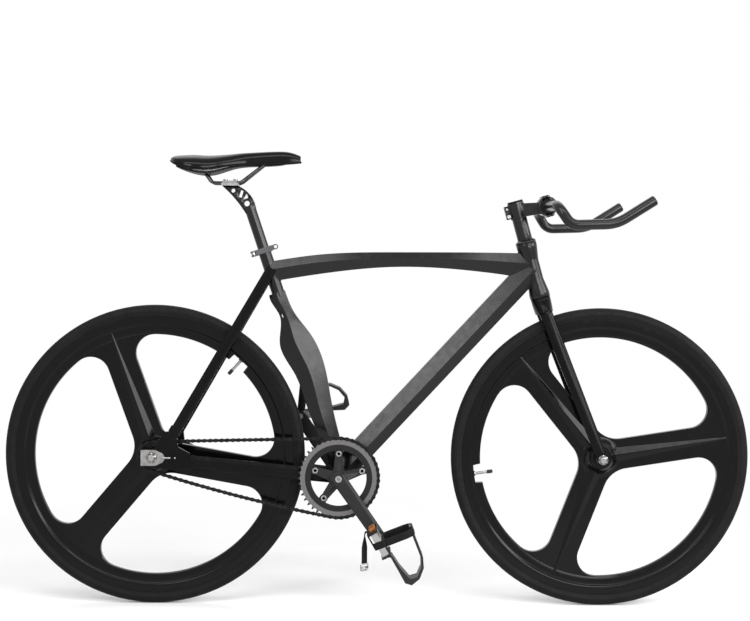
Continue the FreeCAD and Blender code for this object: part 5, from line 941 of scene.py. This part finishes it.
def chain():
    """Rollers, pins and waisted plates, inner and outer in turn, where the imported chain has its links."""
    end = chamfer(ROLLER_RADIUS, ROLLER_HALF, ROLLER_CHAMFER)
    roller = mirrored([(PIN_RADIUS, -ROLLER_HALF)] + end)
    pin = mirrored(chamfer(PIN_RADIUS, PIN_HALF, PIN_CHAMFER))
    parts = []
    centres = roller_centres()
    for number, centre in enumerate(centres):
        parts.append(lathe(roller, centre, SIDE, 18, True))
        parts.append(lathe(pin, centre, SIDE, 12))
        ahead = centres[(number + 1) % len(centres)]
        for side in (-1, 1):
            middle = (centre + ahead) / 2 + SIDE * side * PLATE_PLACES[number % 2]
            parts.append(link_plate(middle, (ahead - centre).normalized()))
    mesh = mesh_of("roller_chain", *joined(parts), smooth=False)
    new_piece(mesh, "frame", "chain_black", "chain")


chain()


# Valves and bolts

VALVE_FOOT = RIM_RADIUS - 25.2 * MM
VALVE_TIP = RIM_RADIUS - 62.5 * MM
VALVE_SIDES = 20
THREADS = 14
THREAD_START = 3.4 * MM
THREAD_PITCH = 1.4 * MM
THREAD_CREST = 3.5 * MM
THREAD_ROOT = 3.1 * MM
# Radius and distance in millimetres: the nut's from the valve's foot, the others from its tip
VALVE_NUT = [(5.6, 0.0), (5.6, -2.4), (3.5, -3.0)]
VALVE_CORE = [(3.3, 12.0), (3.3, 1.0), (2.4, 0.0), (1.6, 0.0), (1.6, -3.0), (1.0, -3.6)]
VALVE_CAP = [(3.4, 8.0), (4.1, 8.0), (4.1, -3.0), (3.3, -4.4), (2.2, -5.0)]


def valve(name, axle):
    """Bright valve stem with a lock nut, a threaded length and its small tip under a black cap."""
    outward = radial(VALVE_TURN[name])
    body = name + "_wheel_body"
    stem = [(radius, VALVE_FOOT + along) for radius, along in metres(VALVE_NUT)]
    for thread in range(THREADS):
        crest = VALVE_FOOT - THREAD_START - THREAD_PITCH * thread
        stem += [(THREAD_CREST, crest), (THREAD_ROOT, crest - THREAD_PITCH / 2)]
    stem += [(radius, VALVE_TIP + along) for radius, along in metres(VALVE_CORE)]
    cap = [(radius, VALVE_TIP + along) for radius, along in metres(VALVE_CAP)]
    stem = lathe(stem, axle, outward, VALVE_SIDES)
    cap = lathe(cap, axle, outward, VALVE_SIDES)
    new_piece(mesh_of(name + "_valve", *stem), body, "bright_steel")
    new_piece(mesh_of(name + "_valve_cap", *cap, smooth=False), body, "plug_black")


for name, axle in AXLES.items():
    valve(name, axle)

RING_BOLTS = 5
RING_BOLT_CIRCLE = 55 * MM
RING_BOLT_TURN = math.radians(-54.2)
# Head and socket of a sleeve bolt, as (radius, height) in millimetres
BOLT_PROFILE = [(6.5, 0.0), (6.5, 1.1), (6.0, 1.6), (3.7, 1.6), (3.3, 1.2), (3.3, -2.5)]
BOLT_HEAD = 1.6 * MM
BOLT_SLEEVE = 4 * MM
BOLT_SIDES = 24
SLOT_DEPTH = 0.8 * MM


def bolt_slot(step, point):
    """Depth of the driver slot at a point of the bolt's profile."""
    return SLOT_DEPTH if step % (BOLT_SIDES // 2) in (0, 1) and point in (2, 3) else 0.0


def chainring_bolts():
    """Sleeve bolts with a chamfered head, a socket and a driver slot across it."""
    low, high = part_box("chainring_bolts")
    profile = metres(BOLT_PROFILE)
    parts = []
    for turn in circle(RING_BOLTS):
        spot = BRACKET + radial(RING_BOLT_TURN + turn) * RING_BOLT_CIRCLE
        outside = Vector((spot.x, low.y + BOLT_HEAD, spot.z))
        inside = Vector((spot.x, high.y - BOLT_HEAD, spot.z))
        sleeve = [(BOLT_SLEEVE, 0.0), (BOLT_SLEEVE, inside.y - outside.y)]
        parts.append(lathe(profile, outside, -SIDE, BOLT_SIDES, False, bolt_slot))
        parts.append(lathe(profile, inside, SIDE, BOLT_SIDES, False, bolt_slot))
        parts.append(lathe(sleeve, outside, SIDE, 16))
    mesh = mesh_of("ring_bolts", *joined(parts), smooth=False)
    new_piece(mesh, "cranks", "bright_steel", "chainring_bolts")


chainring_bolts()


# Toe straps, buckles and reflectors

# Places in a pedal's coordinates: millimetres along, out from the bicycle's middle and up
STRAP_SIDES = (84.25, 170.65)
STRAP_LOW = 10.2
STRAP_HIGH = 78.2
STRAP_CORNER = 12.0
STRAP_UNDER = -12.6
STRAP_END_LAP = 3.0
STRAP_END_GAP = 0.4
TAIL_SIDE = 164.85
TAIL_START = [(6.0, STRAP_UNDER), (-32.0, STRAP_UNDER), (-36.0, -8.6)]
TAIL_BEND = [(-3.5, 1.5), (-6.5, -1.5), (-7.0, -8.0)]
TAIL_DROPS = (14, 20, 26, 32, 44, 56, 68)
REFLECTOR_BACK = -31.0
REFLECTOR_FRONT = -35.2
REFLECTOR_PEAK = -35.95
REFLECTOR_MIDDLE = 120.25
REFLECTOR_HALF = (22.4, 6.4)
# Lengths in metres, angles and counts
STRAP_LEAN = math.radians(9.0)
STRAP_WIDTH = 16 * MM
STRAP_THICKNESS = 2.4 * MM
STRAP_ROUND = 9 * MM
STRAP_END_STEPS = 6
TAIL_WIDTH = 14 * MM
TAIL_ROUND = 4 * MM
TAIL_TWIST = math.radians(55.0)
TAIL_TWIST_RUN = 24 * MM
STITCH_GAP = 4 * MM
STITCH_LENGTH = 2.6 * MM
STITCH_RADIUS = 0.28 * MM
BUCKLE_HALF_WIDTH = 9.2 * MM
BUCKLE_LENGTH = 14 * MM
BUCKLE_ROUND = 3 * MM
BUCKLE_WIRE = 1.5 * MM
ROLLER_WIRE = 2.1 * MM
TONGUE_WIDTH = 9 * MM
TONGUE_THICKNESS = 1.2 * MM
TONGUE_DEPTHS = (1.2 * MM, 1.6 * MM)
REFLECTOR_CELLS = (16, 5)
REFLECTOR_ROUND = 2 * MM
REFLECTOR_BORDER = 0.8 * MM
# Shares of the strap's width, of a step of its line and of the buckle's length and half width
STITCH_EDGE = 0.36
STITCH_MOST = 0.7
ROLLER_PLACE = 0.55
ROLLER_REACH = 0.92
TONGUE_PLACE = 0.9


def beside_pedal(name, along, side, up):
    """Point at level offsets from a pedal's axis."""
    axis = PEDAL_AXIS[name]
    return Vector((axis.x + along * MM, PEDAL_SIDE[name] * side * MM, axis.z + up * MM))


def on_pedal(name, along, side, up):
    """Point in the pedal's own turned coordinates."""
    along, up = turned(along, up, PEDAL_PITCH[name])
    return beside_pedal(name, along, side, up)


def strap_loop(name):
    """Closed loop over the toe clip and under the shoe, with its end beside the pedal."""
    first, last = STRAP_SIDES
    corner = STRAP_CORNER
    outline = [(first, STRAP_LOW), (last, STRAP_LOW), (last, STRAP_HIGH - corner)]
    outline += [(last - corner, STRAP_HIGH), (first + corner, STRAP_HIGH), (first, STRAP_HIGH - corner)]

    def leaned(along, side, up):
        along, up = turned(along, up, -STRAP_LEAN)
        return on_pedal(name, along, side, up)

    wide_way = (leaned(1, 0, 0) - leaned(0, 0, 0)).normalized()
    loop = round_corners([leaned(0, side, up) for side, up in outline], STRAP_ROUND, True)
    lap = STRAP_LOW + STRAP_END_LAP
    fall = lap - STRAP_END_GAP - STRAP_UNDER
    end = [leaned(0, last, lap - fall * step / STRAP_END_STEPS) for step in range(STRAP_END_STEPS + 1)]
    parts = [ribbon(loop, [wide_way] * len(loop), STRAP_WIDTH, STRAP_THICKNESS, True)]
    parts.append(ribbon(end, [wide_way] * len(end), STRAP_WIDTH, STRAP_THICKNESS, False))
    return parts, strap_stitches(loop, wide_way)


def strap_stitches(loop, wide_way):
    """Short threads along both edges of the loop, on both faces."""
    stitches = []
    for edge in (-STITCH_EDGE, STITCH_EDGE):
        for number, here in enumerate(loop):
            ahead = loop[(number + 1) % len(loop)] - here
            heading = ahead.normalized()
            out = heading.cross(wide_way) * (0.5 * STRAP_THICKNESS)
            count = max(1, int(ahead.length / STITCH_GAP))
            for stitch in range(count):
                start = here + ahead * (stitch / count)
                stop = start + heading * min(STITCH_LENGTH, STITCH_MOST * ahead.length)
                for face in (-1, 1):
                    rise = wide_way * edge * STRAP_WIDTH + out * face
                    stitches.append(tube([start + rise, stop + rise], STITCH_RADIUS, 5, False))
    return stitches


def tail_line(name):
    """Line of the strap's free end and the direction of its width at each point."""
    spots = [turned(along, up, PEDAL_PITCH[name]) for along, up in TAIL_START]
    along, up = spots[-1]
    spots += [(along + back, up + rise) for back, rise in TAIL_BEND]
    along += TAIL_BEND[-1][0]
    spots += [(along, up - drop) for drop in TAIL_DROPS]
    corners = [beside_pedal(name, x, TAIL_SIDE, z) for x, z in spots]
    line = round_corners(corners, TAIL_ROUND, False, 4)
    bend_start = corners[len(TAIL_START)].x
    fall_start = corners[len(TAIL_START) + len(TAIL_BEND) - 1].z
    across = []
    for point in line:
        share = clamped((fall_start - point.z) / TAIL_TWIST_RUN) if point.x < bend_start else 0.0
        twist = TAIL_TWIST * share
        across.append(Vector((-math.sin(twist), PEDAL_SIDE[name] * math.cos(twist), 0)))
    return line, across


def buckle(name, end, wide_way):
    """Wire frame with a roller and a tongue at the end of the strap."""
    down = Vector((0, 0, -1))
    deep = wide_way.cross(down)
    half = wide_way * BUCKLE_HALF_WIDTH
    drop = down * BUCKLE_LENGTH
    corners = [end - half, end + half, end + half + drop, end - half + drop]
    wire = tube(round_corners(corners, BUCKLE_ROUND, True, 4), BUCKLE_WIRE, 10, True)
    middle = end + drop * ROLLER_PLACE
    reach = half * ROLLER_REACH
    roller = tube([middle - reach, middle + reach], ROLLER_WIRE, 12, False)
    spine = [middle + deep * TONGUE_DEPTHS[0], end + drop * TONGUE_PLACE + deep * TONGUE_DEPTHS[1]]
    tongue = ribbon(spine, [wide_way] * 2, TONGUE_WIDTH, TONGUE_THICKNESS, False)
    mesh = mesh_of("strap_buckle_" + name, *joined([wire, roller, tongue]))
    new_piece(mesh, "pedal_%s_body" % name, "bright_steel")


def toe_strap(name):
    parts, stitches = strap_loop(name)
    line, across = tail_line(name)
    parts.append(ribbon(line, across, TAIL_WIDTH, STRAP_THICKNESS, False))
    body = "pedal_%s_body" % name
    mesh = mesh_of("leather_strap_" + name, *joined(parts))
    new_piece(mesh, body, "strap_black", "toe_strap_" + name)
    new_piece(mesh_of("strap_stitches_" + name, *joined(stitches)), body, "clip_black")
    buckle(name, line[-1], across[-1])


def reflector(name):
    """Moulded lens of small pyramids in a raised rim."""
    half_side, half_up = REFLECTOR_HALF
    columns, rows = REFLECTOR_CELLS
    wide = columns + 1

    def spot(along, column, row):
        side = REFLECTOR_MIDDLE - half_side + 2 * half_side * column / columns
        up = -half_up + 2 * half_up * row / rows
        return on_pedal(name, along, side, up)

    points = [spot(REFLECTOR_FRONT, column, row) for row in range(rows + 1) for column in range(wide)]
    faces = []
    for row in range(rows):
        for column in range(columns):
            peak = len(points)
            points.append(spot(REFLECTOR_PEAK, column + 0.5, row + 0.5))
            first = row * wide + column
            ring = (first, first + 1, first + wide + 1, first + wide)
            faces += [(ring[number], ring[(number + 1) % 4], peak) for number in range(4)]
    back = list(range(len(points), len(points) + 4))
    corners = [(0, 0), (columns, 0), (columns, rows), (0, rows)]
    points += [spot(REFLECTOR_BACK, column, row) for column, row in corners]
    last = (rows + 1) * wide - 1
    edges = [
        range(0, wide),
        range(columns, last + 1, wide),
        range(last, last - wide, -1),
        range(last - columns, -1, -wide),
    ]
    for number, edge in enumerate(edges):
        faces.append(tuple(edge) + (back[(number + 1) % 4], back[number]))
    faces.append(tuple(reversed(back)))
    border = round_corners([points[edge[0]] for edge in edges], REFLECTOR_ROUND, True, 4)
    parts = [(points, faces), tube(border, REFLECTOR_BORDER, 8, True)]
    mesh = mesh_of("reflector_lens_" + name, *joined(parts), smooth=False)
    new_piece(mesh, "pedal_%s_body" % name, "reflector_amber", "pedal_reflector_" + name)


for name in ("right", "left"):
    toe_strap(name)
    reflector(name)


# Welds

WELDED_PAIRS = (
    ("top_tube", "head_tube"),
    ("down_tube", "head_tube"),
    ("top_tube", "seat_tube"),
    ("down_tube", "bottom_bracket_shell"),
    ("seat_tube", "bottom_bracket_shell"),
    ("chainstays", "bottom_bracket_shell"),
    ("seatstays", "seat_tube"),
)
WELD_RADIUS = 2.2 * MM
WELD_STEP = 1.1 * MM
SOFTEN_ROUNDS = 2
# Every third step of a bead is full, and the others are this share of it
WELD_DIP = 0.86
# A face is seated where it lies this near to the other piece and faces it this squarely
SEAT_GAP = 0.4 * MM
SEAT_FACING = 0.8
SEAM_MERGE = 0.02 * MM
# Only lines of at least this share of the longest get a bead
SEAM_SHARE = 0.88
# The ends of a closed line are nearer than this
SEAM_GAP = 20 * MM


def line_length(line):
    return sum((end - start).length for start, end in zip(line, line[1:]))


def weld_loops(node, other):
    """Outer lines round the ends of a node's tubes that sit on another piece."""
    data = nodes[other].data
    spots = [vert.co for vert in data.vertices]
    tree = BVHTree.FromPolygons(spots, [tuple(face.vertices) for face in data.polygons])
    work = merged(nodes[node].data, SEAM_MERGE)
    seated = {}
    for face in work.faces:
        place, facing, _, _ = tree.find_nearest(face.calc_center_median(), SEAT_GAP)
        seated[face] = place is not None and abs(facing.dot(face.normal)) > SEAT_FACING
    links = {}
    for edge in work.edges:
        sides = [seated[face] for face in edge.link_faces]
        if len(sides) == 2 and sides[0] != sides[1]:
            for one, two in (edge.verts, reversed(edge.verts)):
                links.setdefault(one, []).append(two)
    loops, used = [], set()
    for start in sorted(links, key=lambda vert: tuple(vert.co)):
        if start in used:
            continue
        line, here = [start], start
        used.add(start)
        while True:
            ahead = [vert for vert in links[here] if vert not in used]
            if not ahead:
                break
            here = min(ahead, key=lambda vert: (vert.co - here.co).length)
            used.add(here)
            line.append(here)
        loops.append([vert.co.copy() for vert in line])
    work.free()
    longest = max([line_length(loop) for loop in loops] or [0])
    return [loop for loop in loops if line_length(loop) > SEAM_SHARE * longest]


def spread_evenly(line, gap, closed):
    """The same line with points a steady distance apart."""
    ring = line + [line[0]] if closed else line
    spread, left = [ring[0].copy()], gap
    for start, end in zip(ring, ring[1:]):
        run = (end - start).length
        along = left
        while along < run:
            spread.append(start + (end - start) * (along / run))
            along += gap
        left = along - run
    return spread


def softened(line, closed):
    """The same line with its points drawn towards their neighbours."""
    for _ in range(SOFTEN_ROUNDS):
        count = len(line)
        fresh = []
        for number, point in enumerate(line):
            if not closed and number in (0, count - 1):
                fresh.append(point)
                continue
            fresh.append((line[number - 1] + point * 2 + line[(number + 1) % count]) * 0.25)
        line = fresh
    return line


def bead_radius(number):
    return WELD_RADIUS * (1 if number % 3 == 0 else WELD_DIP)


def weld(node, other):
    """Bead with ripples along the outer edge where two tubes meet."""
    beads = []
    for loop in weld_loops(node, other):
        closed = (loop[0] - loop[-1]).length < SEAM_GAP
        line = softened(spread_evenly(loop, WELD_STEP, closed), closed)
        beads.append(tube(line, bead_radius, 8, closed))
    if beads:
        mesh = mesh_of("weld_%s_%s" % (node, other), *joined(beads))
        new_piece(mesh, "frame", "frame_black")


for node, other in WELDED_PAIRS:
    weld(node, other)


# Stage, light and camera

CAMERA_PLACE = Vector((-0.0550, -3.3806, 0.7786))
# Turn away from looking level along Y, as an axis whose length is the angle
CAMERA_TURN = Vector((-0.0343, -0.0081, -0.0134))
# Focal length and width of the photograph in its own pixels
PHOTO_FOCAL = 1504.6
PHOTO_WIDTH = 750
SENSOR_WIDTH = 36.0
FLOOR_RADIUS = 14.0
FLOOR_SIDES = 96
FLOOR_GAP = 0.4 * MM
# Distance from the middle over which the floor turns white
FLOOR_FADE = (0.75, 1.7)
# Strength of the white surroundings as light, and as seen directly, mirrored or through glass
DIFFUSE_LEVEL = 0.6
SEEN_LEVEL = 1.0


def camera():
    """Camera at the photograph's place and angle."""
    data = bpy.data.cameras.new("camera")
    piece = placed("camera", data)
    data.sensor_width = SENSOR_WIDTH
    data.lens = PHOTO_FOCAL / PHOTO_WIDTH * SENSOR_WIDTH
    rotation = Matrix.Rotation(CAMERA_TURN.length, 3, CAMERA_TURN.normalized())
    right, forward, up = rotation.col[0], rotation.col[1], rotation.col[2]
    place = Matrix((right, up, -forward)).transposed().to_4x4()
    place.translation = CAMERA_PLACE
    piece.matrix_world = place
    bpy.context.scene.camera = piece


def floor():
    """Pale floor that keeps the shadow near the object and turns white further out."""
    turns = circle(FLOOR_SIDES)
    points = [(FLOOR_RADIUS * math.cos(turn), FLOOR_RADIUS * math.sin(turn), 0) for turn in turns]
    mesh = mesh_of("floor", points, [tuple(range(FLOOR_SIDES))])
    piece = placed("floor", mesh)
    piece.location.z = min(cad_low.z, 0.0) - FLOOR_GAP
    shader = Shader("floor", 0.9, 0.0, 0.05)
    shader.colour(shader.noise(3.0), [(0.3, (0.9, 0.9, 0.9)), (0.7, (0.93, 0.93, 0.93))])
    share = shader.scaled(shader.vector("LENGTH", shader.place)["Value"], *FLOOR_FADE)
    white = shader.node("Emission", {})["Emission"]
    inputs = {"Fac": share, 1: shader.principled.outputs["BSDF"], 2: white}
    surface = shader.node("MixShader", inputs)["Shader"]
    shader.link(surface, shader.tree.nodes["Material Output"].inputs["Surface"])
    mesh.materials.append(shader.material)


def lamp(name, place, target, size, power):
    """Soft box at a place, facing a target."""
    data = bpy.data.lights.new(name, "AREA")
    data.shape = "RECTANGLE"
    data.size, data.size_y = size
    data.energy = power
    piece = placed(name, data)
    piece.location = place
    piece.rotation_mode = "QUATERNION"
    piece.rotation_quaternion = (Vector(target) - Vector(place)).to_track_quat("-Z", "Y")


def world():
    """White surroundings that light the object less than they show."""
    space = bpy.data.worlds.new("studio")
    bpy.context.scene.world = space
    space.use_nodes = True
    tree = space.node_tree
    ground = tree.nodes["Background"]
    path = add_node(tree, "LightPath", {})
    seen = path["Is Camera Ray"]
    for way in ("Is Glossy Ray", "Is Transmission Ray"):
        seen = add_node(tree, "Math", {0: seen, 1: path[way]}, operation="MAXIMUM")["Value"]
    level = add_node(tree, "MapRange", {"Value": seen, "To Min": DIFFUSE_LEVEL, "To Max": SEEN_LEVEL})
    tree.links.new(level["Result"], ground.inputs["Strength"])
    ground.inputs["Color"].default_value = (1, 1, 1, 1)


camera()
floor()
world()
lamp("overhead_box", (0.0, -1.5, 2.6), (0.0, 0.0, 0.4), (3.2, 0.5), 28)
lamp("left_box", (-1.4, -2.2, 1.8), (0.2, 0.0, 0.57), (0.9, 0.9), 19)
lamp("right_box", (1.5, -2.45, 1.35), (-0.1, 0.0, 0.5), (1.6, 1.4), 58)
lamp("side_box", (2.8, -1.0, 1.7), (0.0, 0.0, 0.5), (1.8, 0.8), 38)
lamp("back_fill", (0.0, 1.5, 2.8), (0.0, 0.0, 0.4), (3.0, 1.5), 20)

bpy.context.scene.view_settings.view_transform = "Standard"
